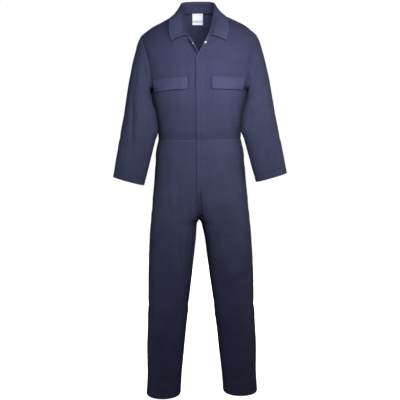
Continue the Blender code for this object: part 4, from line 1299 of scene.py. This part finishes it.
# Mesh lines of a strip, in millimetres from its front's edge: across its lap, and across its sewn side.
FLY_LAP_SPOTS = (12.0, 11.65, 11.1, 10.0, 8.0, 5.5, 3.0)
FLY_SEWN_SPOTS = (0.0, 3.0, 7.0, 11.0, 15.0, 19.0, 22.0, 24.5, 26.1, 26.65, 27.0)
FLY_TURN = 6.0                        # over this width a strip turns from its front's way to its lap's


def neck_lap(edge, opened, side):
    """Where a strip's rim runs in the open neck, and the way that the strip faces there."""
    rim_rows = NECK_RIM[side]
    level = edge[:, 2] / MM + NECK_RISE * eased(opened * 3)
    rim = np.stack([np.interp(-level, -rim_rows["z"], rim_rows[axis]) for axis in "xy"] + [level], axis=1) * MM
    along = unit(np.gradient(rim, axis=0))
    return rim, unit(np.cross(along, rim - edge) * side)


@functools.cache
def fly_sheet(side):
    """A strip along one front's edge, from its foot to the collar. In the open neck it stands free past it."""
    hand, other_hand = ("left", "right") if side > 0 else ("right", "left")
    parts = []
    for kind in ("trouser_front_", "front_"):
        own, other = cloth()[kind + hand], cloth()[kind + other_hand]
        if kind == "front_":
            head = own.row_at(FLY_HEAD * MM)
            rows = np.concatenate([np.arange(1, math.floor(head - 0.5)), head - np.array([0.8, 0.3, 0.1, 0.0])])
        else:
            foot = own.row_at(FLY_FOOT[side] * MM)
            first = foot + np.array([0.0, 0.08, 0.2, 0.45, 0.9])
            rows = np.concatenate([first, np.arange(math.ceil(first[-1] + 0.3), len(own.points) - 1)])
        opened = np.zeros(len(rows))
        if kind == "front_":
            numbers = np.interp(rows, np.arange(len(own.numbers)), own.numbers)
            opened = np.clip(numbers - NECK_FOOT, 0.0, 1.0)
        edge, edge_facing = own.track(0.0, rows)
        rim, lap_facing = neck_lap(edge, opened, side)
        free = eased(opened * 6)[:, None]
        columns, facings = [], []
        for spot in FLY_LAP_SPOTS:
            line, facing = other.track(spot * MM, rows)
            reach = spot / FLY_LAP
            forward = NECK_BULGE[side] * reach + (1 - NECK_BULGE[side]) * float(eased(reach * 1.9))
            stand = edge + (rim - edge) * [reach, forward, reach]
            columns.append(line * (1 - free) + stand * free)
            turned = eased(spot / FLY_TURN)
            bent = lap_facing * turned + edge_facing * (1 - turned)
            facings.append(unit(facing * (1 - free) + bent * free))
        for spot in FLY_SEWN_SPOTS:
            line, facing = own.track(spot * MM, rows)
            near = eased(1 - spot / FLY_TURN) * 0.5
            columns.append(line)
            facings.append(unit(facing * (1 - near * free) + lap_facing * near * free))
        parts.append((np.stack(columns, axis=1), np.stack(facings, axis=1), eased(opened * 4)))
    points, facings, opened = [np.concatenate(group) for group in zip(*parts)]
    strip = Sheet(points, facings)
    strip.opened = opened       # 1 in the open neck, 0 below it
    return strip


FLY_EDGE_RISE = 2.4 * MM              # the covering strip's free edge stands off the cloth under it
FLY_SEAM_TAPER = 14.0 * MM            # over this width its sewn side sinks into its front
FLY_SEWN_LOW, FLY_SEWN_HIGH = 0.2 * MM, 0.7 * MM      # its two faces there
UNDER_STITCHED = 30                   # the under strip is stitched along this many rows from its head down


def fly_heights(side):
    """Heights of a strip's two faces from the skin of its front."""
    made = settings("cloth")
    sheet = fly_sheet(side)
    if side < 0:
        return rolled(sheet, -made.single - made.lift - made.doubled, -made.single - made.lift)
    low, high = rolled(sheet, made.lift, made.lift + made.doubled, ("first", "foot", "head"))
    rise = FLY_EDGE_RISE * eased(1 - sheet.across / (FLY_LAP * MM)) * (1 - sheet.opened[:, None])
    proud = eased(sheet.to_edge("last") / FLY_SEAM_TAPER - 0.1 - 1.1 * sheet.opened[:, None])
    low = FLY_SEWN_LOW + (low - FLY_SEWN_LOW) * proud + rise
    return low, FLY_SEWN_HIGH + (high - FLY_SEWN_HIGH) * proud + rise


def make_fly():
    """The strip over the studs on the left front, and the strip under it on the right front."""
    made, inset = settings("cloth"), settings("sewing").inset
    for side, name in ((1, "fly_cover"), (-1, "fly_under")):
        sheet = fly_sheet(side)
        low, high = fly_heights(side)
        # painted highlight: in the open neck the strips' laps are drawn lighter, where they face the light
        lap = eased(1.6 - sheet.across / (6 * MM)) * sheet.opened[:, None]
        rub = np.maximum(0.7 * np.exp(-sheet.across / (2.5 * MM)), lap)
        if side > 0:
            lines = [sheet.edge("last", 2 * MM), sheet.edge("first", inset), sheet.edge("foot", inset, 3 * MM)]
            top = made.lift + made.doubled
        else:
            lines = [sheet.edge("first", inset)[-UNDER_STITCHED:]]
            top = -made.single - made.lift
        sew(name, sheet, low, high, single_twill(), rub, lines, top)


STUD_LEVEL = {-1: -114.0, 1: -110.0}  # the height of each stud, in millimetres
STUD_INSET = 5.0 * MM                 # from its strip's rim
STUD_SIDES = 28
STUD_PROFILE = table(
    "radius height",
    [
        (0.0, 2.5), (1.4, 2.42), (2.5, 2.15), (3.1, 1.75),                   # the cap's dome
        (3.35, 1.85), (4.1, 1.9), (4.65, 1.4), (4.8, 0.7), (4.6, 0.0),       # the rolled ring
    ],
)


def make_studs():
    """A press stud in the middle of each strip's free edge: a domed cap in a rolled ring."""
    for side, hand in HANDS:
        sheet = fly_sheet(side)
        _, high = fly_heights(side)
        line, facing = sheet.track(STUD_INSET)
        heights = np.array([np.interp(STUD_INSET, a, h) for a, h in zip(sheet.across, high)])
        tops = line + facing * heights[:, None]
        order = np.argsort(tops[:, 2])
        both = np.concatenate([tops, facing], axis=1)[order]
        at = np.array([np.interp(STUD_LEVEL[side] * MM, both[:, 2], both[:, k]) for k in range(6)])
        out = Vector(at[3:]).normalized()
        bm = bmesh.new()
        ring = [bm.verts.new((r * MM, 0, h * MM)) for r, h in zip(*STUD_PROFILE.values())]
        edges = [bm.edges.new(pair) for pair in zip(ring, ring[1:])]
        bmesh.ops.spin(
            bm, geom=ring + edges, cent=(0, 0, 0), axis=(0, 0, 1), angle=2 * math.pi, steps=STUD_SIDES,
            use_merge=True,
        )
        bmesh.ops.remove_doubles(bm, verts=bm.verts[:], dist=1e-6)
        rim = [edge for edge in bm.edges if edge.is_boundary]
        bmesh.ops.contextual_create(bm, geom=rim)
        bmesh.ops.recalc_face_normals(bm, faces=bm.faces[:])
        turn = Vector((0, 0, 1)).rotation_difference(out).to_matrix().to_4x4()
        place = Matrix.Translation(Vector(at[:3]) + out * 0.1 * MM) @ turn
        bmesh.ops.transform(bm, matrix=place, verts=bm.verts[:])
        finished("stud_" + hand, bm, nickel())


def rounded_line(points, count):
    """A smooth line through points, with count points of its own."""
    ends = np.concatenate([[2 * points[0] - points[1]], points, [2 * points[-1] - points[-2]]])
    t = np.linspace(0, len(points) - 1, 20 * len(points))
    k = np.clip(t.astype(int), 0, len(points) - 2)
    f = (t - k)[:, None]
    a, b, c, d = ends[k], ends[k + 1], ends[k + 2], ends[k + 3]
    line = 0.5 * (2 * b + (c - a) * f + (2 * a - 5 * b + 4 * c - d) * f**2 + (3 * b - a - 3 * c + d) * f**3)
    return spread(line, stations(walk(line)[-1], count, (0.0,), tuple(s * MM for s in RIM_SPOTS)))


COLLAR_FOLD = 3.2 * MM               # how round the fold is
COLLAR_LIFT = 2.2 * MM               # between the middle of the collar's cloth and what it lies over
COLLAR_LEAN = 5.0 * MM               # the right side of the collar stands this much further out
COLLAR_POINTS, COLLAR_SECTIONS = 34, 52
COLLAR_FALL = 15                     # the first point of a collar section that can lie on the fronts
COLLAR_SMOOTH = 10                   # this many sections beside the centre back are evened out
SMOOTH_ROUNDS = 12                   # as often as this
SETTLE_ROUNDS = 6                    # how often the fall is laid on what is under it and evened out
PAINTED_SHADE_HEIGHT = 46 * MM               # the inside of the stand is darkened with painted shade below this height
PAINTED_SHADE_FADE = 10 * MM


def neck_seam(q):
    """The neck edge at q, from 0 at the centre back over 3 at the shoulder to 6 at the collar's front end."""
    back, front = cloth()["back"], cloth()["front_left"]
    if q <= 3:
        number, sheet, column = NAPE + (BACK_SHOULDER - NAPE) * q / 3, back, COLUMNS + 1
    else:
        number, sheet, column = FRONT_SHOULDER - (FRONT_SHOULDER - COLLAR_END) * (q - 3) / 3, front, 0
    return np.array([np.interp(number, sheet.numbers, sheet.points[:, column, k]) for k in range(3)])


def surface(sheets):
    """Sheets as one surface to search, each facing out of the suit; sheets are (points, sense) pairs."""
    points, faces = [], []
    for rows, sense in sheets:
        base, width = len(points), rows.shape[1]
        points += [tuple(point) for row in rows for point in row]
        for j, i in np.ndindex(rows.shape[0] - 1, width - 1):
            if width > 2 * COLUMNS and i == COLUMNS:
                continue
            corner = base + j * width + i
            face = (corner, corner + 1, corner + width + 1, corner + width)
            faces.append(face if sense < 0 else face[::-1])
    return BVHTree.FromPolygons(points, faces)


@functools.cache
def collar_sheet():
    """The collar, from its right front end round the neck to its left one: stand, fold and fall."""
    up = np.array([0.0, 0.0, 1.0])
    half = []
    for q in np.linspace(0, 6, COLLAR_SECTIONS + 1):
        row = row_of(COLLAR, q)
        if q < 1:
            level = row_of(COLLAR, q * q * (2 - q))       # level across the centre back
            row.update({name: level[name] for name in ("fold_y", "fold_z", "edge_y", "edge_z", "swell")})
        fold = np.array([row["fold_x"], row["fold_y"], row["fold_z"]]) * MM
        edge = np.array([row["edge_x"], row["edge_y"], row["edge_z"]]) * MM
        out = unit((edge - fold) * [1, 1, 0])
        seam = neck_seam(q)
        stand_top, fall_top = fold - (out + up) * COLLAR_FOLD, fold + (out - up) * COLLAR_FOLD
        foot = seam + unit(stand_top - seam) * 0.5 * MM
        away = (out * 0.6 + up * 0.8) * row["swell"] * MM
        fall = [fall_top + (edge - fall_top) * f + away * math.sin(math.pi * f) for f in (0.33, 0.67)]
        points = [foot, (foot + stand_top) / 2 + out * 1.0 * MM, stand_top, fold, fall_top, *fall, edge]
        half.append(rounded_line(np.array(points), COLLAR_POINTS))
    half = np.array(half)
    other = half[:0:-1].copy()
    other[:, :, 0] *= -1
    q = np.linspace(6, 0, COLLAR_SECTIONS + 1)[:-1, None]
    other[:, :, 0] -= COLLAR_LEAN * np.sin(np.pi * np.minimum(q / 3, 1)) * eased(np.arange(half.shape[1]) / 10)
    rows = np.concatenate([other, half])
    for _ in range(SMOOTH_ROUNDS):
        near = rows[COLLAR_SECTIONS - COLLAR_SMOOTH:COLLAR_SECTIONS + COLLAR_SMOOTH + 1]
        near[1:-1] = (near[:-2] + 2 * near[1:-1] + near[2:]) / 4
    skins = [(cloth()[n].points, faces_out(n)) for n in ("front_left", "front_right", "back")]
    cover = fly_sheet(1)
    skins.append((cover.points + cover.normals * fly_heights(1)[1][..., None], faces_out("front_left")))
    under = surface(skins)
    for _ in range(SETTLE_ROUNDS):
        for j, i in np.ndindex(rows.shape[0], rows.shape[1] - COLLAR_FALL):
            place = Vector(rows[j, i + COLLAR_FALL])
            spot, facing, _, _ = under.find_nearest(place)
            short = COLLAR_LIFT - (place - spot).dot(facing)
            if short > 0:
                rows[j, i + COLLAR_FALL] += np.array(facing) * short
        evener = rows.copy()
        evener[1:-1, 1:-1] = (rows[:-2, 1:-1] + rows[2:, 1:-1] + rows[1:-1, :-2] + rows[1:-1, 2:]) / 4
        rows[:, COLLAR_FALL:-3] += (evener[:, COLLAR_FALL:-3] - rows[:, COLLAR_FALL:-3]) * 0.5
    return Sheet(rows, unit(point_normals(rows)))


def make_collar():
    """The folded collar, two layers thick, with a row of stitches inside its edge."""
    sheet = collar_sheet()
    half = settings("cloth").doubled / 2
    low, high = rolled(sheet, -half, half)
    rub = edge_rub(sheet, 0.9, ("last", "foot", "head"))
    # painted shade: the inside of the stand is drawn darker, where the neck shades it
    rub = rub - 0.75 * eased((PAINTED_SHADE_HEIGHT - sheet.across) / PAINTED_SHADE_FADE)
    inset = settings("sewing").inset
    lines = [sheet.edge("last", inset, inset)]
    lines += [sheet.edge(side, inset, inset)[COLLAR_FALL - 2:] for side in ("foot", "head")]
    sew("collar", sheet, low, high, pressed_twill(), rub, lines, half)


# Heights on the suit, and the distance from a front's edge to the inner side, in millimetres.
POCKET_TOP, POCKET_FOOT, POCKET_INNER = -262.0, -427.0, 58.0
POCKET_WIDTH = {-1: 134.0, 1: 124.0}
FLAP_TOP, FLAP_DEPTH, FLAP_INNER = -246.0, 48.0, 52.0
FLAP_WIDTH = {-1: 148.0, 1: 136.0}
FLAP_DROOP = {-1: 11.0, 1: 6.0}       # how far a flap's outer end hangs below its inner end
POCKET_DROOP = 3.0                    # likewise, for a pocket
POCKET_LAID = 0.25 * MM               # a pocket stands this far off its front where it is sewn
SLACK_EDGE = 26 * MM                  # it hangs slack further than this from its sewn edges
SLACK_TOP, SLACK_FADE = 0.175, 0.04   # and less towards its mouth, in metres from its foot
FLAP_LAID = 0.5 * MM                  # the gap between a flap and the cloth of its pocket
FLAP_STAND = 4.2 * MM                 # it stands off its pocket at its free edge
FLAP_WAVE = 2.0 * MM                  # and waves there
FLAP_CROWN = 1.6 * MM                 # its middle swells
CROWN_EDGE, CROWN_FOOT = 18 * MM, 9 * MM      # the swell rises over these widths beside its rim


def laid_patch(panel, top, foot, inner, width, droop, cell=4.0):
    """A rectangle on a panel, as a sheet from its foot to its top: sizes in millimetres."""
    reach = stations(width, round(width / cell) + 4, RIM_SPOTS, RIM_SPOTS)
    rise = stations(top - foot, round((top - foot) / cell) + 4, RIM_SPOTS, RIM_SPOTS)
    hang = droop * (reach / width) ** 1.3
    levels = (foot + rise[:, None] - hang[None, :]) * MM
    return Sheet(*panel.places((inner + reach) * MM, levels))


def make_chest_pockets():
    """The pockets on the chest and their flaps."""
    made, inset = settings("cloth"), settings("sewing").inset
    for side, hand in HANDS:
        panel = cloth()["front_" + hand]
        sheet = laid_patch(panel, POCKET_TOP, POCKET_FOOT, POCKET_INNER, POCKET_WIDTH[side], POCKET_DROOP)
        loose = eased(sheet.rim(HUNG_EDGES) / SLACK_EDGE) * eased((SLACK_TOP - sheet.along) / SLACK_FADE)
        sag = loose * (0.9 + 1.0 * ripples(sheet.points, 26, 40, 5.0 + side)) * MM
        top = POCKET_LAID + made.single
        low, high = rolled(sheet, POCKET_LAID, top)
        lines = [sheet.edge(edge, row, row) for edge in HUNG_EDGES for row in (EDGE_ROW, inset)]
        sew(
            "chest_pocket_" + hand, sheet, low + sag, high + sag, single_twill(),
            edge_rub(sheet, 0.6, HUNG_EDGES), lines, top,
        )
        make_flap(panel, side, hand)


def make_flap(panel, side, hand):
    """A pocket flap, sewn along its top and standing off a little at its free edge."""
    made, inset = settings("cloth"), settings("sewing").inset
    foot = FLAP_TOP - FLAP_DEPTH
    sheet = laid_patch(panel, FLAP_TOP, foot, FLAP_INNER, FLAP_WIDTH[side], FLAP_DROOP[side], cell=3.4)
    down = 1 - sheet.along / sheet.along[-1:]
    wave = 0.5 + 0.5 * ripples(sheet.points, 38, 38, 2.0 + side)
    crown = eased(sheet.rim(("first", "last", "head")) / CROWN_EDGE)
    crown *= eased(sheet.to_edge("foot") / CROWN_FOOT + 0.4)
    stand = FLAP_STAND * eased(down * 1.4) + FLAP_WAVE * wave * down**2 + FLAP_CROWN * crown
    base = FLAP_LAID + made.single * 1.3
    low, high = rolled(sheet, base, base + made.doubled)
    top = Sheet(sheet.points + sheet.normals * (high + stand)[..., None], sheet.normals)
    lines = [top.edge(edge, inset, inset) for edge in HUNG_EDGES]
    lines += [top.edge("head", row, row) for row in (EDGE_ROW, inset)]
    sew(
        "chest_flap_" + hand, sheet, low + stand, high + stand, pressed_twill(),
        edge_rub(sheet, 0.9, HUNG_EDGES), lines, 0.0,
    )


HIP_SLIT_TOP, HIP_SLIT_FOOT = -606.0, -762.0      # heights of a strip's ends
HIP_STRIP = 24.0                      # its width
HIP_ROWS = 42
HIP_ENDS = (0.1, 0.25, 0.5)           # extra rows beside both ends of a strip, as row numbers
HIP_SEAM = 0.6                        # between a strip's outer edge and the side seam
HIP_TAPER = 16 * MM                   # its ends are sewn flat over this length


def make_hip_pockets():
    """A strip along the side seam, on the front edge of each hip pocket."""
    made, inset = settings("cloth"), settings("sewing").inset
    for _, hand in HANDS:
        panel = cloth()["trouser_front_" + hand]
        foot, head = [panel.row_at(level * MM, 0.1) for level in (HIP_SLIT_FOOT, HIP_SLIT_TOP)]
        ends = np.array(HIP_ENDS)
        inside = np.linspace(foot, head, HIP_ROWS)[1:-1]
        numbers = np.concatenate([[foot], foot + ends, inside, head - ends[::-1], [head]])
        widths = np.interp(numbers, np.arange(len(panel.points)), panel.across[:, -1])
        columns, facings = [], []
        for spot in stations(HIP_STRIP, 12, RIM_SPOTS[:4], RIM_SPOTS[:4]):
            line = [panel.track(w - (HIP_STRIP + HIP_SEAM - spot) * MM, [n]) for w, n in zip(widths, numbers)]
            columns.append([p[0][0] for p in line])
            facings.append([p[1][0] for p in line])
        sheet = Sheet(np.array(columns).transpose(1, 0, 2), np.array(facings).transpose(1, 0, 2))
        _, high = rolled(sheet, 0.0, made.doubled)
        high = high * (0.35 + 0.65 * eased(sheet.rim(("foot", "head")) / HIP_TAPER))
        top = Sheet(sheet.points + sheet.normals * high[..., None], sheet.normals)
        lines = [top.edge(edge, 2 * MM, 1 * MM) for edge in ("first", "foot", "head")]
        lines.append(top.edge("last", inset, 2 * MM))
        sew(
            "pocket_edge_" + hand, sheet, 0.0, high, pressed_twill(),
            edge_rub(sheet, 0.9, ("last",)), lines, 0.0,
        )


LABEL_WIDTH, LABEL_TOP, LABEL_FOOT = 45.0, 29.0, -17.0      # its width, and the heights of its ends
LABEL_OFF_CENTRE = -4.0 * MM
LABEL_BAND = (9 * MM, 19 * MM)        # the plain band, from the label's foot
LABEL_WALL = 0.5 * MM                 # how thick the ribbon is
LABEL_HANG = 1.6 * MM                 # its foot stands this much further off the back
LABEL_ROW = 2 * MM                    # its stitches run this far from its edges


def make_label():
    """A label inside the back of the neck, sewn along its top, with a plain band and no words."""
    back = cloth()["back"]
    nape = int(np.searchsorted(back.numbers, NAPE, side="right"))
    half = Sheet(back.points[:nape, COLUMNS + 1:], back.normals[:nape, COLUMNS + 1:])
    reach = np.linspace(0, LABEL_WIDTH / 2, 10) * MM
    heights = stations(LABEL_TOP - LABEL_FOOT, 22, RIM_SPOTS[:4], RIM_SPOTS[:4])
    levels = np.repeat((LABEL_FOOT + heights[:, None]) * MM, len(reach), axis=1)
    points, normals = half.places(reach, levels)
    flip = np.array([-1.0, 1.0, 1.0])
    points = np.concatenate([(points * flip)[:, :0:-1], points], axis=1)
    normals = np.concatenate([(normals * flip)[:, :0:-1], normals], axis=1)
    points[..., 0] += LABEL_OFF_CENTRE
    sheet = Sheet(points, normals)
    down = 1 - sheet.along / sheet.along[-1:]
    made = settings("cloth")
    stand = -(made.single + made.lift) - LABEL_HANG * down**2
    inner = Sheet(points, -normals)
    lines = [inner.edge(side, LABEL_ROW, LABEL_ROW) for side in ("head", "foot", "first", "last")]
    height = made.single + made.lift + LABEL_WALL + 0.6 * MM
    sew("neck_label", sheet, stand - LABEL_WALL, stand, label_ribbon(), 0.0, lines, height)


# ---------------------------------------------------------------- the stage

FLOOR_GAP = 0.03           # the hems hang this far over the floor
FLOOR_SIZE = 40.0
SENSOR_WIDTH = 36.0        # in millimetres, as the lens is
FRAME_SHIFT = -0.2 / 400   # the frame stands a fifth of a pixel to the side
LIGHTS = {                 # place, aim, size and tint of each soft box
    "high": ((0.0, -1.6, 0.6), (0.0, 0.0, -0.3), 0.8, "#f7fbff"),
    "near": ((0.22, -0.9, -0.2), (0.0, 0.0, -0.3), 0.5, "#fffdf8"),
    "left": ((1.8, -0.42, -0.1), (0.0, 0.0, -0.4), 0.8, "#fff7e9"),
    "right": ((-1.8, -0.5, -0.9), (0.0, 0.0, -0.8), 0.8, "#fff7e9"),
    "rear": ((0.3, 2.8, -0.1), (0.0, 0.0, -0.6), 1.8, "#fdfdff"),
}


def aimed(place, target):
    """The turn of a lamp that looks from its place to a target."""
    return (Vector(target) - Vector(place)).to_track_quat("-Z", "Y").to_euler()


def add_floor():
    """A wide pale floor, which casts no light of its own on the suit."""
    lowest = FRAME_BOX[0][2] - FLOOR_GAP
    bm = bmesh.new()
    bmesh.ops.create_grid(bm, x_segments=1, y_segments=1, size=FLOOR_SIZE / 2)
    bmesh.ops.translate(bm, verts=bm.verts[:], vec=(0, 0, lowest))
    mesh = bpy.data.meshes.new("floor")
    bm.to_mesh(mesh)
    bm.free()
    floor = bpy.data.objects.new("floor", mesh)
    bpy.context.scene.collection.objects.link(floor)
    material, _, shader = blank_material("pale_floor", roughness=0.9, specular_ior_level=0.1)
    tint = (*settings("finish").floor, 1.0)
    shader.inputs["Base Color"].default_value = tint
    shader.inputs["Emission Color"].default_value = tint
    shader.inputs["Emission Strength"].default_value = 1.0
    mesh.materials.append(material)
    floor.visible_diffuse = False
    floor.visible_glossy = False


def add_lights():
    """The soft boxes, hidden from the camera."""
    for name, (place, target, size, tint) in LIGHTS.items():
        lamp = bpy.data.lights.new(name + "_light", "AREA")
        lamp.shape = "SQUARE"
        lamp.size = size
        lamp.energy = getattr(settings("stage"), name)
        lamp.color = linear(tint)
        light = bpy.data.objects.new(name + "_light", lamp)
        light.location = place
        light.rotation_euler = aimed(place, target)
        light.visible_camera = False
        bpy.context.scene.collection.objects.link(light)


def add_camera():
    """The camera in front of the suit, at the height of its ribs and looking down a little."""
    stage = settings("stage")
    data = bpy.data.cameras.new("camera")
    data.lens = stage.lens
    data.sensor_width = SENSOR_WIDTH
    data.shift_x = FRAME_SHIFT
    camera = bpy.data.objects.new("camera", data)
    camera.location = (0.0, -stage.away, stage.height)
    look = Matrix.Rotation(math.pi / 2 - stage.tilt, 4, "X") @ Matrix.Rotation(-stage.roll, 4, "Z")
    camera.rotation_euler = look.to_euler()
    bpy.context.scene.collection.objects.link(camera)
    bpy.context.scene.camera = camera


def add_world():
    """A white surround, which the cloth takes no light from."""
    world = bpy.data.worlds.new("white_studio")
    world.use_nodes = True
    world.node_tree.nodes["Background"].inputs["Color"].default_value = (1.0, 1.0, 1.0, 1.0)
    world.cycles_visibility.diffuse = False
    world.cycles_visibility.glossy = False
    bpy.context.scene.world = world
    bpy.context.scene.view_settings.view_transform = "Standard"


def make_stage():
    """A pale floor, a white surround, five soft boxes and the camera."""
    add_floor()
    add_lights()
    add_world()
    add_camera()


# ---------------------------------------------------------------- the add-on

class SUIT_OT_stage(bpy.types.Operator):
    """Add the floor, the lights and the camera"""

    bl_idname = "suit.stage"
    bl_label = "Stage"
    bl_options = {"REGISTER", "UNDO"}

    def execute(self, context):
        make_stage()
        return {"FINISHED"}


class SUIT_OT_upper(bpy.types.Operator):
    """Cut the fronts and the back"""

    bl_idname = "suit.upper"
    bl_label = "Fronts and back"
    bl_options = {"REGISTER", "UNDO"}

    def execute(self, context):
        make_upper()
        return {"FINISHED"}


class SUIT_OT_sleeves(bpy.types.Operator):
    """Cut the sleeves"""

    bl_idname = "suit.sleeves"
    bl_label = "Sleeves"
    bl_options = {"REGISTER", "UNDO"}

    def execute(self, context):
        make_sleeves()
        return {"FINISHED"}


class SUIT_OT_trousers(bpy.types.Operator):
    """Cut the trouser fronts and backs"""

    bl_idname = "suit.trousers"
    bl_label = "Trousers"
    bl_options = {"REGISTER", "UNDO"}

    def execute(self, context):
        make_trousers()
        return {"FINISHED"}


class SUIT_OT_fly(bpy.types.Operator):
    """Sew on the two fly strips"""

    bl_idname = "suit.fly"
    bl_label = "Fly strips"
    bl_options = {"REGISTER", "UNDO"}

    def execute(self, context):
        make_fly()
        return {"FINISHED"}


class SUIT_OT_studs(bpy.types.Operator):
    """Fit the press studs"""

    bl_idname = "suit.studs"
    bl_label = "Studs"
    bl_options = {"REGISTER", "UNDO"}

    def execute(self, context):
        make_studs()
        return {"FINISHED"}


class SUIT_OT_collar(bpy.types.Operator):
    """Sew on the collar"""

    bl_idname = "suit.collar"
    bl_label = "Collar"
    bl_options = {"REGISTER", "UNDO"}

    def execute(self, context):
        make_collar()
        return {"FINISHED"}


class SUIT_OT_chest_pockets(bpy.types.Operator):
    """Sew on the chest pockets and their flaps"""

    bl_idname = "suit.chest_pockets"
    bl_label = "Chest pockets"
    bl_options = {"REGISTER", "UNDO"}

    def execute(self, context):
        make_chest_pockets()
        return {"FINISHED"}


class SUIT_OT_hip_pockets(bpy.types.Operator):
    """Sew on the hip pocket strips"""

    bl_idname = "suit.hip_pockets"
    bl_label = "Hip pockets"
    bl_options = {"REGISTER", "UNDO"}

    def execute(self, context):
        make_hip_pockets()
        return {"FINISHED"}


class SUIT_OT_label(bpy.types.Operator):
    """Sew in the neck label"""

    bl_idname = "suit.label"
    bl_label = "Neck label"
    bl_options = {"REGISTER", "UNDO"}

    def execute(self, context):
        make_label()
        return {"FINISHED"}


OPERATORS = [
    SUIT_OT_stage, SUIT_OT_upper, SUIT_OT_sleeves, SUIT_OT_trousers,
    SUIT_OT_fly, SUIT_OT_studs, SUIT_OT_collar, SUIT_OT_chest_pockets,
    SUIT_OT_hip_pockets, SUIT_OT_label,
]
GROUPS = {"cloth": ClothSettings, "sewing": SewingSettings, "finish": FinishSettings, "stage": StageSettings}


class SUIT_PT_panel(bpy.types.Panel):
    """The suit's settings and the steps that make it"""

    bl_label = "Boiler Suit"
    bl_idname = "SUIT_PT_panel"
    bl_space_type = "VIEW_3D"
    bl_region_type = "UI"
    bl_category = "Boiler Suit"

    def draw(self, context):
        for step in OPERATORS:
            self.layout.operator(step.bl_idname)
        for name, group in GROUPS.items():
            box = self.layout.box()
            box.label(text=name.title())
            for key in group.__annotations__:
                box.prop(settings(name), key)


def register():
    """Makes the settings, the steps and the panel known."""
    for name, group in GROUPS.items():
        bpy.utils.register_class(group)
        setattr(bpy.types.Scene, "suit_" + name, bpy.props.PointerProperty(type=group))
    for step in OPERATORS:
        bpy.utils.register_class(step)
    bpy.utils.register_class(SUIT_PT_panel)


def unregister():
    """Takes them away again."""
    bpy.utils.unregister_class(SUIT_PT_panel)
    for step in reversed(OPERATORS):
        bpy.utils.unregister_class(step)
    for name, group in GROUPS.items():
        delattr(bpy.types.Scene, "suit_" + name)
        bpy.utils.unregister_class(group)


def main():
    """Makes the suit and its stage."""
    register()
    collection = bpy.data.collections.new(COLLECTION)
    bpy.context.scene.collection.children.link(collection)
    for step in OPERATORS:
        category, name = step.bl_idname.split(".")
        getattr(getattr(bpy.ops, category), name)()


if __name__ == "__main__":
    main()
